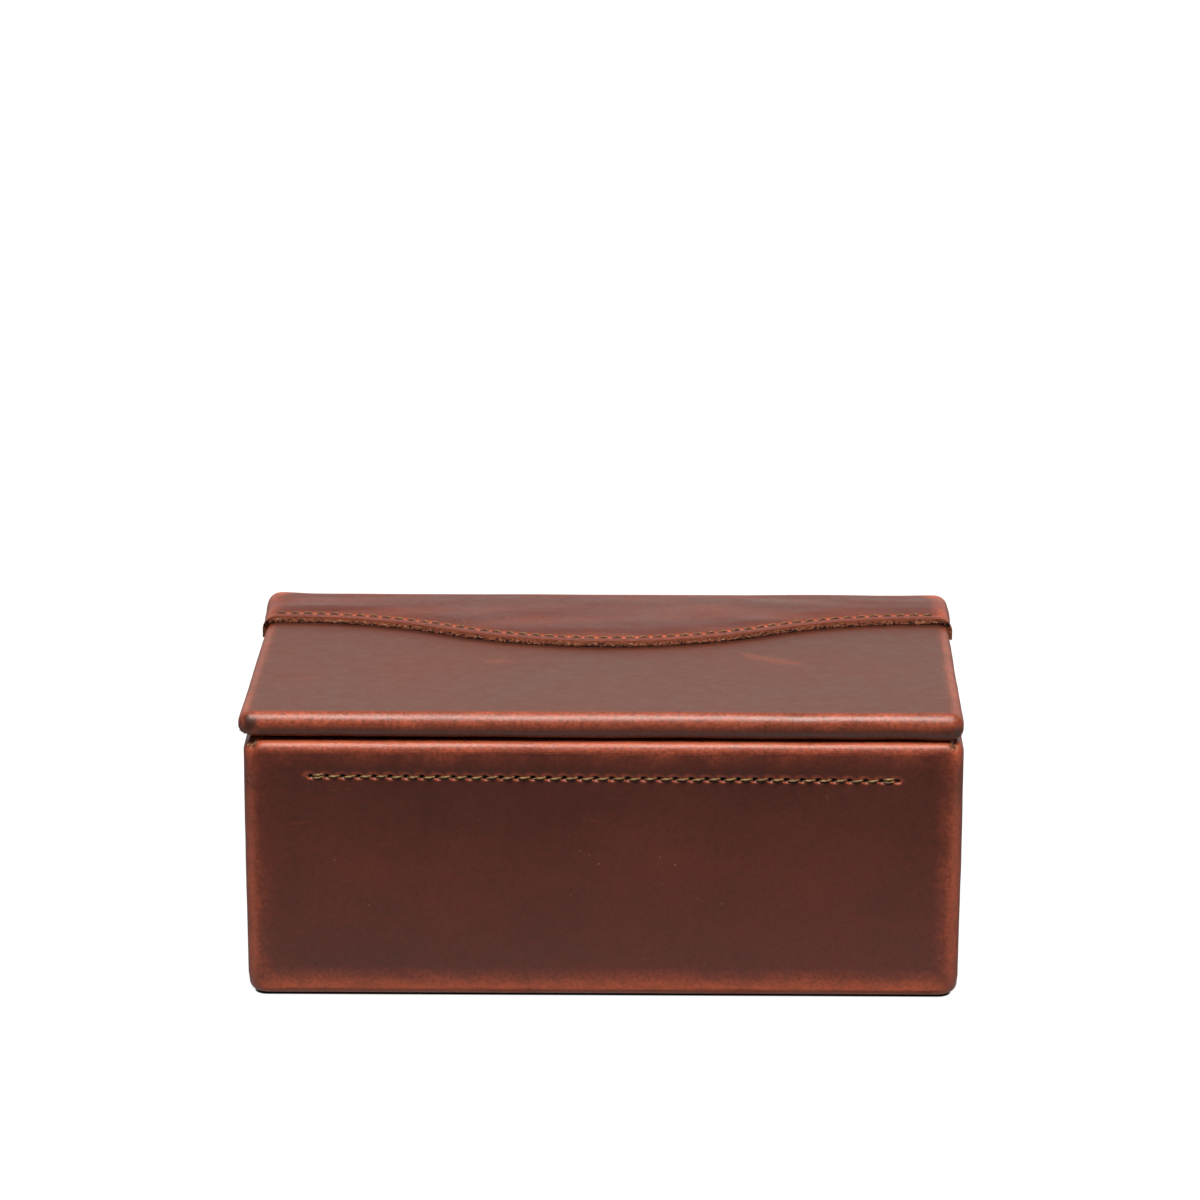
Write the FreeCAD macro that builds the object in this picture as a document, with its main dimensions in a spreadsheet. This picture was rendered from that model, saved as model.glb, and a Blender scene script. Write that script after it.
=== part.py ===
import FreeCAD, Part
import os
import math
import Sketcher
from FreeCAD import Vector

# A leather organizer box: a board core wrapped in thick hide, with a lid that hangs on a leather hinge.
# Millimetres, +Z up, the front faces -Y, and the origin lies under the middle of the box on the table.

doc = FreeCAD.newDocument("leather_organizer_box")
sizes = doc.addObject("Spreadsheet::Sheet", "sizes")

driving_sizes = [
    ("box_width", 254.0, "outside of the wall leather, left to right"),
    ("box_depth", 143.0, "front of the wall leather to the back of the hinge leather"),
    ("rim_height", 96.4, "table to the top of the rolled rim"),
    ("corner_radius", 6.0, "upright corners of the wrapped walls"),
    ("bottom_radius", 4.0, "fold where the wall leather turns under"),
    ("leather_thick", 2.0, "wall and lid hide"),
    ("flap_thick", 2.0, "hide of the flap, the hinge and the back panel"),
    ("lining_thick", 1.2, "lining panels"),
    ("base_thick", 1.2, "panel that the box stands on"),
    ("board_thick", 5.0, "wall boards"),
    ("bottom_board_thick", 5.0, "bottom board"),
    ("lid_board_thick", 6.0, "lid board"),
    ("board_chamfer", 1.0, "eased edges of the boards, where the hide folds over them"),
    ("rim_crest", 0.6, "flat left on top of the rolled rim"),
    ("turn_in", 18.0, "wall leather folded down inside the rim"),
    ("turn_under", 13.0, "wall leather folded under the bottom board"),
    ("base_inset", 5.0, "edge of the base panel from the wall faces"),
    ("base_corner", 5.0, "corners of the base panel"),
    ("opening_corner", 2.0, "inside corners of the turned-in rim"),
    ("lid_gap", 0.3, "rim to the underside of the lid"),
    ("lid_side_overhang", 0.2, "lid beyond the side walls"),
    ("lid_front_setback", 0.5, "lid behind the front wall"),
    ("lid_corner_radius", 4.8, "upright corners of the lid"),
    ("lid_top_radius", 4.3, "upper edge of the lid"),
    ("lid_bottom_radius", 4.6, "lower edge of the lid"),
    ("lid_turn_under", 14.0, "lid leather folded under the lid board"),
    ("lid_lining_corner", 4.0, "corners of the lid lining"),
    ("flap_end_reach", 35.0, "flap at the lid's sides, measured from the back"),
    ("flap_middle_reach", 63.7, "flap at the middle of the lid, measured from the back"),
    ("flap_straight_end", 10.0, "straight stretch at each end of the wavy edge"),
    ("flap_tab_straight", 1.0, "side tabs below the lid's rounded upper edge"),
    ("hinge_free", 3.0, "free leather above and below the seam"),
    ("hinge_inset", 8.0, "sides of the hinge leather from the side walls"),
    ("back_foot", 9.0, "lower edge of the back panel above the table"),
    ("back_corner", 8.0, "lower corners of the back panel"),
    ("divider_board_thick", 3.0, "divider boards"),
    ("divider_leather_thick", 1.0, "sleeves of the dividers"),
    ("divider_height", 64.0, "dividers above the floor lining"),
    ("middle_bay", 76.0, "clear width of the middle compartment"),
]

derived_sizes = [
    ("half_width", "=box_width / 2"),
    ("front_y", "=box_depth / 2"),
    ("hinge_face_y", "=box_depth / 2"),
    ("back_y", "=hinge_face_y - flap_thick"),
    ("rim_thick", "=board_thick + 2 * leather_thick"),
    ("rim_radius", "=(rim_thick - rim_crest) / 2"),
    ("board_inset", "=leather_thick + board_thick"),
    ("wall_thick", "=board_inset + lining_thick"),
    ("core_radius", "=corner_radius - leather_thick"),
    ("under_z", "=base_thick + leather_thick"),
    ("floor_z", "=under_z + bottom_board_thick"),
    ("bay_floor_z", "=floor_z + lining_thick"),
    ("turn_in_z", "=rim_height - turn_in"),
    ("core_top_z", "=rim_height - leather_thick"),
    ("lid_half_width", "=half_width + lid_side_overhang"),
    ("lid_front_y", "=front_y - lid_front_setback"),
    ("lid_bottom_z", "=rim_height + lid_gap"),
    ("lid_board_z", "=lid_bottom_z + leather_thick"),
    ("lid_thick", "=lid_board_thick + 2 * leather_thick"),
    ("lid_top_z", "=lid_bottom_z + lid_thick"),
    ("flap_half_width", "=lid_half_width + flap_thick"),
    ("flap_tab_drop", "=lid_top_radius + flap_tab_straight"),
    ("flap_end_y", "=hinge_face_y - flap_end_reach"),
    ("flap_belly_y", "=hinge_face_y - flap_middle_reach"),
    ("wave_half", "=flap_half_width - flap_straight_end"),
    ("wave_rise", "=flap_middle_reach - flap_end_reach"),
    ("wave_radius", "=(wave_half * wave_half + wave_rise * wave_rise) / (4 * wave_rise)"),
    ("hinge_half_width", "=half_width - hinge_inset"),
    ("hinge_low_z", "=rim_height - hinge_free"),
    ("hinge_high_z", "=lid_bottom_z + hinge_free"),
    ("divider_thick", "=divider_board_thick + 2 * divider_leather_thick"),
    ("divider_x", "=(middle_bay + divider_thick) / 2"),
]

for row, (alias, value, note) in enumerate(driving_sizes, start=1):
    sizes.set(f"A{row}", alias)
    sizes.set(f"B{row}", str(value))
    sizes.setAlias(f"B{row}", alias)
    sizes.set(f"C{row}", note)
for row, (alias, formula) in enumerate(derived_sizes, start=len(driving_sizes) + 2):
    sizes.set(f"A{row}", alias)
    sizes.set(f"B{row}", formula)
    sizes.setAlias(f"B{row}", alias)
doc.recompute()

pieces = []
near = 0.01    # how close an edge lies to the level it is picked by


def keep(piece, label):
    piece.Label = label
    pieces.append(piece)
    return piece


def value_of(text):
    return float(sizes.evalExpression(text))


def bound(text):
    # an expression of aliases, as other objects have to write it
    words = text.replace("(", " ( ").replace(")", " ) ").split()
    aliases = {alias for alias, *_ in driving_sizes} | {alias for alias, _ in derived_sizes}
    return " ".join(f"sizes.{word}" if word in aliases else word for word in words)


# Sketches and features

def sketch_on(body, role, offset):
    sketch = body.newObject("Sketcher::SketchObject", f"{body.Name}_sketch")
    plane = next(feature for feature in body.Origin.OriginFeatures if feature.Role == role)
    sketch.AttachmentSupport = [(plane, "")]
    sketch.MapMode = "FlatFace"
    sketch.setExpression("AttachmentOffset.Base.z", bound(offset))
    return sketch


def bind(sketch, kind, places, name, text):
    index = sketch.addConstraint(Sketcher.Constraint(kind, *places, value_of(text)))
    sketch.renameConstraint(index, name)
    sketch.setExpression(f"Constraints.{name}", bound(text))


def square_rectangle(sketch, half_width, low, high):
    w, lo, hi = (value_of(text) for text in (half_width, low, high))
    corners = [Vector(-w, -lo, 0), Vector(w, -lo, 0), Vector(w, hi, 0), Vector(-w, hi, 0)]
    lines = [sketch.addGeometry(Part.LineSegment(tail, tip))
             for tail, tip in zip(corners, corners[1:] + corners[:1])]
    for line, following in zip(lines, lines[1:] + lines[:1]):
        sketch.addConstraint(Sketcher.Constraint("Coincident", line, 2, following, 1))
    place_rectangle(sketch, lines, half_width, low, high)


def rounded_rectangle(sketch, half_width, low, high, radius):
    w, lo, hi, r = (value_of(text) for text in (half_width, low, high, radius))
    turns = [(w - r, r - lo, -90), (w - r, hi - r, 0), (r - w, hi - r, 90), (r - w, r - lo, 180)]
    sides = [((r - w, -lo), (w - r, -lo)), ((w, r - lo), (w, hi - r)),
             ((w - r, hi), (r - w, hi)), ((-w, hi - r), (-w, r - lo))]
    lines, arcs = [], []
    for (tail, tip), (cx, cy, angle) in zip(sides, turns):
        lines.append(sketch.addGeometry(Part.LineSegment(Vector(*tail, 0), Vector(*tip, 0))))
        circle = Part.Circle(Vector(cx, cy, 0), Vector(0, 0, 1), r)
        quarter = Part.ArcOfCircle(circle, math.radians(angle), math.radians(angle + 90))
        arcs.append(sketch.addGeometry(quarter))
    for line, arc, following in zip(lines, arcs, lines[1:] + lines[:1]):
        sketch.addConstraint(Sketcher.Constraint("Tangent", line, 2, arc, 1))
        sketch.addConstraint(Sketcher.Constraint("Tangent", arc, 2, following, 1))
    for arc in arcs[1:]:
        sketch.addConstraint(Sketcher.Constraint("Equal", arcs[0], arc))
    bind(sketch, "Radius", (arcs[0],), "radius", radius)
    place_rectangle(sketch, lines, half_width, low, high)


def place_rectangle(sketch, lines, half_width, low, high):
    # low lies below the sketch's origin and high above it, both given as distances
    for line, direction in zip(lines, ("Horizontal", "Vertical", "Horizontal", "Vertical")):
        sketch.addConstraint(Sketcher.Constraint(direction, line))
    bind(sketch, "DistanceX", (-1, 1, lines[1], 1), "right", half_width)
    bind(sketch, "DistanceX", (lines[3], 1, -1, 1), "left", half_width)
    bind(sketch, "DistanceY", (lines[0], 1, -1, 1), "low", low)
    bind(sketch, "DistanceY", (-1, 1, lines[2], 1), "high", high)


def extrude(body, kind, sketch, length, upward=True):
    feature = body.newObject(f"PartDesign::{kind}", f"{body.Name}_{kind.lower()}")
    feature.Profile = sketch
    feature.Reversed = upward if kind == "Pocket" else not upward
    feature.setExpression("Length", bound(length))
    before = body.Shape.Volume if kind == "Pocket" else None
    doc.recompute()
    if before is not None and body.Shape.Volume > before - near:
        raise RuntimeError(f"{feature.Name} cuts nothing")
    return feature


def block(name, half_width, front, back, radius, low_z, height):
    # an upright block with rounded corners
    body = doc.addObject("PartDesign::Body", name)
    sketch = sketch_on(body, "XY_Plane", low_z)
    rounded_rectangle(sketch, half_width, front, back, radius)
    extrude(body, "Pad", sketch, height)
    return body


def hollow(body, half_width, front, back, radius, low_z, height):
    # a radius of None leaves the corners square
    sketch = sketch_on(body, "XY_Plane", low_z)
    if radius:
        rounded_rectangle(sketch, half_width, front, back, radius)
    else:
        square_rectangle(sketch, half_width, front, back)
    extrude(body, "Pocket", sketch, height)


def dress_edges(body, kind, size, picked):
    support = body.Tip
    edges = [f"Edge{number}" for number, edge in enumerate(support.Shape.Edges, start=1) if picked(edge)]
    feature = body.newObject(f"PartDesign::{kind}", f"{body.Name}_{kind.lower()}")
    feature.Base = (support, edges)
    feature.setExpression("Radius" if kind == "Fillet" else "Size", bound(size))
    doc.recompute()


def at_level(text):
    level = value_of(text)
    return lambda edge: abs(edge.BoundBox.ZMin - level) < near and abs(edge.BoundBox.ZMax - level) < near


def panel(label, low_x, low_y, low_z, width, depth, height):
    box = doc.addObject("Part::Box", label)
    for side, text in (("Length", width), ("Width", depth), ("Height", height)):
        box.setExpression(side, bound(text))
    for axis, text in (("x", low_x), ("y", low_y), ("z", low_z)):
        box.setExpression(f".Placement.Base.{axis}", bound(text))
    return box


def boolean(kind, name, base, tool):
    result = doc.addObject(f"Part::{kind}", name)
    result.Base = base
    result.Tool = tool
    result.Refine = True
    return result


# Core boards: a bottom board with four wall boards standing on it
bottom_board = block("bottom_board", "half_width - leather_thick", "front_y - leather_thick",
                     "back_y - leather_thick", "core_radius", "under_z", "bottom_board_thick")
dress_edges(bottom_board, "Chamfer", "board_chamfer", at_level("under_z"))
keep(bottom_board, "bottom_board")

wall_core = block("wall_core", "half_width - leather_thick", "front_y - leather_thick",
                  "back_y - leather_thick", "core_radius", "floor_z", "core_top_z - floor_z")
hollow(wall_core, "half_width - board_inset", "front_y - board_inset", "back_y - board_inset",
       None, "floor_z", "core_top_z - floor_z")
dress_edges(wall_core, "Chamfer", "board_chamfer", at_level("core_top_z"))

board_spans = {
    "front_board": ("- half_width", "- front_y", "box_width", "board_inset"),
    "back_board": ("- half_width", "back_y - board_inset", "box_width", "board_inset"),
    "left_board": ("- half_width", "board_inset - front_y", "board_inset",
                   "front_y + back_y - 2 * board_inset"),
    "right_board": ("half_width - board_inset", "board_inset - front_y", "board_inset",
                    "front_y + back_y - 2 * board_inset"),
}
for label, (low_x, low_y, width, depth) in board_spans.items():
    span = panel(f"{label}_span", low_x, low_y, "floor_z", width, depth, "rim_height - floor_z")
    keep(boolean("Common", label, wall_core, span), label)

# Wall leather: wrapped round the boards, rolled over the rim, turned in above and turned under below
wall_blank = block("wall_blank", "half_width", "front_y", "back_y", "corner_radius",
                   "base_thick", "rim_height - base_thick")
hollow(wall_blank, "half_width - rim_thick", "front_y - rim_thick", "back_y - rim_thick",
       "opening_corner", "turn_in_z", "turn_in")
dress_edges(wall_blank, "Fillet", "rim_radius", at_level("rim_height"))
dress_edges(wall_blank, "Fillet", "bottom_radius", at_level("base_thick"))
hollow(wall_blank, "half_width - board_inset", "front_y - board_inset", "back_y - board_inset",
       None, "floor_z", "turn_in_z - floor_z")
hollow(wall_blank, "half_width - turn_under", "front_y - turn_under", "back_y - turn_under",
       "opening_corner", "base_thick", "leather_thick")
keep(boolean("Cut", "wall_leather", wall_blank, boolean("Fuse", "box_core", wall_core, bottom_board)),
     "wall_leather")

# Base panel, over the turned-under edges
keep(block("base_leather", "half_width - base_inset", "front_y - base_inset", "back_y - base_inset",
           "base_corner", "0", "base_thick"), "base_leather")

# Linings: a floor panel, with the wall panels standing on it up to the turned-in edge
keep(panel("floor_lining", "board_inset - half_width", "board_inset - front_y", "floor_z",
           "box_width - 2 * board_inset", "front_y + back_y - 2 * board_inset", "lining_thick"),
     "floor_lining")
lining_spans = {
    "front_lining": ("board_inset - half_width", "board_inset - front_y",
                     "box_width - 2 * board_inset", "lining_thick"),
    "back_lining": ("board_inset - half_width", "back_y - wall_thick",
                    "box_width - 2 * board_inset", "lining_thick"),
    "left_lining": ("board_inset - half_width", "wall_thick - front_y", "lining_thick",
                    "front_y + back_y - 2 * wall_thick"),
    "right_lining": ("half_width - wall_thick", "wall_thick - front_y", "lining_thick",
                     "front_y + back_y - 2 * wall_thick"),
}
for label, (low_x, low_y, width, depth) in lining_spans.items():
    keep(panel(label, low_x, low_y, "bay_floor_z", width, depth, "turn_in_z - bay_floor_z"), label)


# Dividers: a round-topped board in a folded sleeve, between the front and back linings
def arch(sketch, thick, height):
    w, top = value_of(thick) / 2, value_of(height)
    half_round = Part.ArcOfCircle(Part.Circle(Vector(0, top - w, 0), Vector(0, 0, 1), w), 0, math.pi)
    foot = sketch.addGeometry(Part.LineSegment(Vector(-w, 0, 0), Vector(w, 0, 0)))
    right = sketch.addGeometry(Part.LineSegment(Vector(w, 0, 0), Vector(w, top - w, 0)))
    crown = sketch.addGeometry(half_round)
    left = sketch.addGeometry(Part.LineSegment(Vector(-w, top - w, 0), Vector(-w, 0, 0)))
    sketch.addConstraint(Sketcher.Constraint("Coincident", foot, 2, right, 1))
    sketch.addConstraint(Sketcher.Constraint("Tangent", right, 2, crown, 1))
    sketch.addConstraint(Sketcher.Constraint("Tangent", crown, 2, left, 1))
    sketch.addConstraint(Sketcher.Constraint("Coincident", left, 2, foot, 1))
    sketch.addConstraint(Sketcher.Constraint("Vertical", right))
    sketch.addConstraint(Sketcher.Constraint("PointOnObject", foot, 1, -1))
    sketch.addConstraint(Sketcher.Constraint("PointOnObject", foot, 2, -1))
    sketch.addConstraint(Sketcher.Constraint("PointOnObject", crown, 3, -2))
    bind(sketch, "Radius", (crown,), "radius", f"({thick}) / 2")
    bind(sketch, "DistanceY", (-1, 1, crown, 3), "spring", f"{height} - ({thick}) / 2")


def arched_wall(name, thick, height, place_x):
    body = doc.addObject("PartDesign::Body", name)
    sketch = sketch_on(body, "XZ_Plane", "wall_thick - back_y")
    arch(sketch, thick, height)
    extrude(body, "Pad", sketch, "front_y + back_y - 2 * wall_thick")
    body.setExpression(".Placement.Base.x", bound(place_x))
    body.setExpression(".Placement.Base.z", bound("bay_floor_z"))
    return body


for side, place_x in (("left", "- divider_x"), ("right", "divider_x")):
    board = arched_wall(f"{side}_divider_board", "divider_board_thick",
                        "divider_height - divider_leather_thick", place_x)
    sleeve = arched_wall(f"{side}_divider_blank", "divider_thick", "divider_height", place_x)
    keep(board, f"{side}_divider_board")
    keep(boolean("Cut", f"{side}_divider_leather", sleeve, board), f"{side}_divider_leather")

# Lid: a board wrapped in leather that is turned under, with a lining panel inside the turned edge
lid_board = block("lid_board", "lid_half_width - leather_thick", "lid_front_y - leather_thick",
                  "back_y - leather_thick", "lid_corner_radius - leather_thick",
                  "lid_board_z", "lid_board_thick")
dress_edges(lid_board, "Chamfer", "board_chamfer", at_level("lid_top_z - leather_thick"))
dress_edges(lid_board, "Chamfer", "board_chamfer", at_level("lid_board_z"))
keep(lid_board, "lid_board")

lid_blank = block("lid_blank", "lid_half_width", "lid_front_y", "back_y", "lid_corner_radius",
                  "lid_bottom_z", "lid_thick")
dress_edges(lid_blank, "Fillet", "lid_top_radius", at_level("lid_top_z"))
dress_edges(lid_blank, "Fillet", "lid_bottom_radius", at_level("lid_bottom_z"))
lid_lining_outline = ("lid_half_width - lid_turn_under", "lid_front_y - lid_turn_under",
                      "back_y - lid_turn_under", "lid_lining_corner")
hollow(lid_blank, *lid_lining_outline, "lid_bottom_z", "leather_thick")
keep(boolean("Cut", "lid_leather", lid_blank, lid_board), "lid_leather")
keep(block("lid_lining", *lid_lining_outline, "lid_board_z - lining_thick", "lining_thick"), "lid_lining")


# Flap: the upper end of the hinge hide, moulded over the lid's back and sides, with a wavy front edge
def wavy_outline(sketch):
    # each half of the wave is two equal arcs that meet tangent, so the belly is one arc across the middle
    w, end, wave = value_of("flap_half_width"), value_of("flap_end_y"), value_of("wave_half")
    back, belly, radius = value_of("hinge_face_y"), value_of("flap_belly_y"), value_of("wave_radius")
    corner = value_of("lid_corner_radius + flap_thick")
    lean = math.asin(wave / (2 * radius))
    up = math.pi / 2

    def line(tail, tip):
        return sketch.addGeometry(Part.LineSegment(Vector(*tail, 0), Vector(*tip, 0)))

    def arc(centre, size, begin, finish):
        circle = Part.Circle(Vector(*centre, 0), Vector(0, 0, 1), size)
        return sketch.addGeometry(Part.ArcOfCircle(circle, begin, finish))

    left_hollow = arc((-wave, end - radius), radius, up - lean, up)
    belly_arc = arc((0, belly + radius), radius, -up - lean, -up + lean)
    right_hollow = arc((wave, end - radius), radius, up, up + lean)
    right_end = line((wave, end), (w, end))
    right_side = line((w, end), (w, back - corner))
    right_turn = arc((w - corner, back - corner), corner, 0, up)
    back_side = line((w - corner, back), (corner - w, back))
    left_turn = arc((corner - w, back - corner), corner, up, math.pi)
    left_side = line((-w, back - corner), (-w, end))
    left_end = line((-w, end), (-wave, end))

    joins = [
        ("Tangent", left_end, 2, left_hollow, 2), ("Tangent", left_hollow, 1, belly_arc, 1),
        ("Tangent", belly_arc, 2, right_hollow, 2), ("Tangent", right_hollow, 1, right_end, 1),
        ("Coincident", right_end, 2, right_side, 1), ("Tangent", right_side, 2, right_turn, 1),
        ("Tangent", right_turn, 2, back_side, 1), ("Tangent", back_side, 2, left_turn, 1),
        ("Tangent", left_turn, 2, left_side, 1), ("Coincident", left_side, 2, left_end, 1),
    ]
    for join in joins:
        sketch.addConstraint(Sketcher.Constraint(*join))
    for side, direction in ((right_end, "Horizontal"), (left_end, "Horizontal"), (back_side, "Horizontal"),
                            (right_side, "Vertical"), (left_side, "Vertical")):
        sketch.addConstraint(Sketcher.Constraint(direction, side))
    sketch.addConstraint(Sketcher.Constraint("PointOnObject", belly_arc, 3, -2))
    sketch.addConstraint(Sketcher.Constraint("Equal", right_turn, left_turn))
    bind(sketch, "Radius", (right_turn,), "corner", "lid_corner_radius + flap_thick")
    bind(sketch, "Radius", (belly_arc,), "belly", "wave_radius")
    bind(sketch, "DistanceY", (-1, 1, belly_arc, 3), "belly_centre", "flap_belly_y + wave_radius")
    bind(sketch, "DistanceX", (-1, 1, right_hollow, 3), "right_wave", "wave_half")
    bind(sketch, "DistanceX", (left_hollow, 3, -1, 1), "left_wave", "wave_half")
    bind(sketch, "DistanceY", (-1, 1, right_end, 1), "right_reach", "flap_end_y")
    bind(sketch, "DistanceY", (-1, 1, left_end, 1), "left_reach", "flap_end_y")
    bind(sketch, "DistanceX", (-1, 1, right_side, 1), "right_tab", "flap_half_width")
    bind(sketch, "DistanceX", (left_side, 2, -1, 1), "left_tab", "flap_half_width")
    bind(sketch, "DistanceY", (-1, 1, back_side, 1), "back", "hinge_face_y")


flap_blank = doc.addObject("PartDesign::Body", "flap_blank")
flap_sketch = sketch_on(flap_blank, "XY_Plane", "lid_top_z - flap_tab_drop")
wavy_outline(flap_sketch)
extrude(flap_blank, "Pad", flap_sketch, "flap_tab_drop + flap_thick")
flap_top = at_level("lid_top_z + flap_thick")
flap_end_y = value_of("flap_end_y")
dress_edges(flap_blank, "Fillet", "lid_top_radius + flap_thick",
            lambda edge: flap_top(edge) and edge.CenterOfMass.y > flap_end_y + near)
flap_skirt = panel("flap_skirt", "- hinge_half_width", "back_y", "hinge_high_z",
                   "2 * hinge_half_width", "flap_thick", "lid_top_z - lid_top_radius - hinge_high_z")
keep(boolean("Cut", "lid_flap", boolean("Fuse", "flap_hide", flap_blank, flap_skirt), lid_blank), "lid_flap")

# Hinge: the free stretch of the hide across the seam, and the panel below it on the back wall
keep(panel("hinge_leather", "- hinge_half_width", "back_y", "hinge_low_z", "2 * hinge_half_width",
           "flap_thick", "hinge_high_z - hinge_low_z"), "hinge_leather")


def back_outline(sketch):
    w, low, high = value_of("hinge_half_width"), value_of("back_foot"), value_of("hinge_low_z")
    r = value_of("back_corner")
    outline = [
        Part.LineSegment(Vector(r - w, low, 0), Vector(w - r, low, 0)),
        Part.ArcOfCircle(Part.Circle(Vector(w - r, low + r, 0), Vector(0, 0, 1), r), -math.pi / 2, 0),
        Part.LineSegment(Vector(w, low + r, 0), Vector(w, high, 0)),
        Part.LineSegment(Vector(w, high, 0), Vector(-w, high, 0)),
        Part.LineSegment(Vector(-w, high, 0), Vector(-w, low + r, 0)),
        Part.ArcOfCircle(Part.Circle(Vector(r - w, low + r, 0), Vector(0, 0, 1), r), math.pi, 1.5 * math.pi),
    ]
    foot, right_turn, right, top, left, left_turn = (sketch.addGeometry(edge) for edge in outline)
    for join in (("Tangent", foot, 2, right_turn, 1), ("Tangent", right_turn, 2, right, 1),
                 ("Coincident", right, 2, top, 1), ("Coincident", top, 2, left, 1),
                 ("Tangent", left, 2, left_turn, 1), ("Tangent", left_turn, 2, foot, 1),
                 ("Equal", right_turn, left_turn), ("Horizontal", foot), ("Horizontal", top),
                 ("Vertical", right), ("Vertical", left)):
        sketch.addConstraint(Sketcher.Constraint(*join))
    bind(sketch, "Radius", (right_turn,), "corner", "back_corner")
    bind(sketch, "DistanceX", (-1, 1, top, 1), "right_side", "hinge_half_width")
    bind(sketch, "DistanceX", (top, 2, -1, 1), "left_side", "hinge_half_width")
    bind(sketch, "DistanceY", (-1, 1, foot, 1), "foot", "back_foot")
    bind(sketch, "DistanceY", (-1, 1, top, 1), "seam", "hinge_low_z")


back_leather = doc.addObject("PartDesign::Body", "back_leather")
back_sketch = sketch_on(back_leather, "XZ_Plane", "- hinge_face_y")
back_outline(back_sketch)
extrude(back_leather, "Pad", back_sketch, "flap_thick")
keep(back_leather, "back_leather")

# Every object has to be sound before a piece is written
doc.recompute()
for thing in doc.Objects:
    if {"Invalid", "Error"} & set(thing.State):
        raise RuntimeError(f"{thing.Label} failed: {thing.State}")
for piece in pieces:
    if piece.Shape.isNull() or not piece.Shape.isValid() or not piece.Shape.Solids:
        raise RuntimeError(f"{piece.Label} is not a sound solid")

os.makedirs("parts", exist_ok=True)
for piece in pieces:
    piece.Shape.exportStep(f"parts/{piece.Label}.step")
    box = piece.Shape.optimalBoundingBox()
    print(f"{piece.Label:24s} solids {len(piece.Shape.Solids)}  volume {piece.Shape.Volume:10.1f}"
          f"  x {box.XMin:7.2f} {box.XMax:7.2f}  y {box.YMin:6.2f} {box.YMax:6.2f}"
          f"  z {box.ZMin:6.2f} {box.ZMax:6.2f}")
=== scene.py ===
import math
import random

import bmesh
import bpy
from mathutils import Matrix, Vector, noise


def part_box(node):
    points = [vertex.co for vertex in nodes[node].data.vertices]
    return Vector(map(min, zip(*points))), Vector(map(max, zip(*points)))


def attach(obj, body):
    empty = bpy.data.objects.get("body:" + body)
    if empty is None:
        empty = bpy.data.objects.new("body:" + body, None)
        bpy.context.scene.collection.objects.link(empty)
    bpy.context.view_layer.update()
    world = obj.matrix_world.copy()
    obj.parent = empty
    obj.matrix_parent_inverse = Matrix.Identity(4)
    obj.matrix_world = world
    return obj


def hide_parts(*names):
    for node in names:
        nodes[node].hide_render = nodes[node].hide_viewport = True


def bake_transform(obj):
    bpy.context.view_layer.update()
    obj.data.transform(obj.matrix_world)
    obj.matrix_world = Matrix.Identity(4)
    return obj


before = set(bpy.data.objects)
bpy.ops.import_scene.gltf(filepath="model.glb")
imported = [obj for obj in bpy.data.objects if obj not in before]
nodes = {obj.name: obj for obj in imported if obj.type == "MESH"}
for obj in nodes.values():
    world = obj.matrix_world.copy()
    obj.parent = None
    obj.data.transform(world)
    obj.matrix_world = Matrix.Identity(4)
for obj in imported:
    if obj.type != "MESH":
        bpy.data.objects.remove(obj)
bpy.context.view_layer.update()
mm = 0.001
snug = 0.01 * mm          # points nearer than this count as level
faceOn = 0.9              # a face counts as facing one way past this share
wallLow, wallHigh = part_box("wall_leather")
lidLow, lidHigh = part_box("lid_leather")
flapLow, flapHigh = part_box("lid_flap")
panelLow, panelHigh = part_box("back_leather")
bendLow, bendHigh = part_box("hinge_leather")
print("frame loaded:", len(nodes), "nodes")


# hand tools

class Settings(dict):
    # a dictionary whose entries are read as settings.name
    __getattr__ = dict.__getitem__


def onlyActive(piece):
    bpy.ops.object.select_all(action="DESELECT")
    piece.select_set(True)
    bpy.context.view_layer.objects.active = piece


def openEdit(piece):
    onlyActive(piece)
    bpy.ops.object.mode_set(mode="EDIT")
    bpy.ops.mesh.select_all(action="DESELECT")


def closeEdit():
    bpy.ops.object.mode_set(mode="OBJECT")


def pick(piece, kind, test):
    bpy.ops.mesh.select_mode(type=kind)
    bpy.ops.mesh.select_all(action="DESELECT")
    cage = bmesh.from_edit_mesh(piece.data)
    if kind == "FACE":
        cage.normal_update()
    for element in {"FACE": cage.faces, "EDGE": cage.edges, "VERT": cage.verts}[kind]:
        if test(element):
            element.select_set(True)
    bmesh.update_edit_mesh(piece.data)


def pickFaces(piece, test):
    pick(piece, "FACE", lambda face: test(face.calc_center_median(), face.normal))


def pickEdges(piece, test):
    pick(piece, "EDGE", lambda edge: test(edge.verts[0].co, edge.verts[1].co))


def pickPoints(piece, test):
    pick(piece, "VERT", lambda point: test(point.co))


def onLevel(a, b, z):
    return max(abs(a.z - z), abs(b.z - z)) < snug


def applyPlace():
    bpy.ops.object.transform_apply(location=True, rotation=True, scale=True)


def startShell(name, low, high, test):
    # a block in edit mode, without the faces whose normals pass the test
    bpy.ops.mesh.primitive_cube_add(size=1, location=(low + high) / 2)
    piece = bpy.context.object
    piece.name = name
    piece.data.name = name
    piece.scale = high - low
    applyPlace()
    openEdit(piece)
    pickFaces(piece, lambda c, n: test(n))
    bpy.ops.mesh.delete(type="FACE")
    return piece


def roundEdges(piece, test, offset, segments):
    pickEdges(piece, test)
    bpy.ops.mesh.bevel(offset_type="OFFSET", offset=offset, segments=segments, profile=0.5,
                       affect="EDGES", clamp_overlap=False)


def extrudeEdges(move):
    bpy.ops.mesh.extrude_edges_move(TRANSFORM_OT_translate={"value": move})


def faceOutward():
    bpy.ops.mesh.select_all(action="SELECT")
    bpy.ops.mesh.normals_make_consistent(inside=False)


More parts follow.
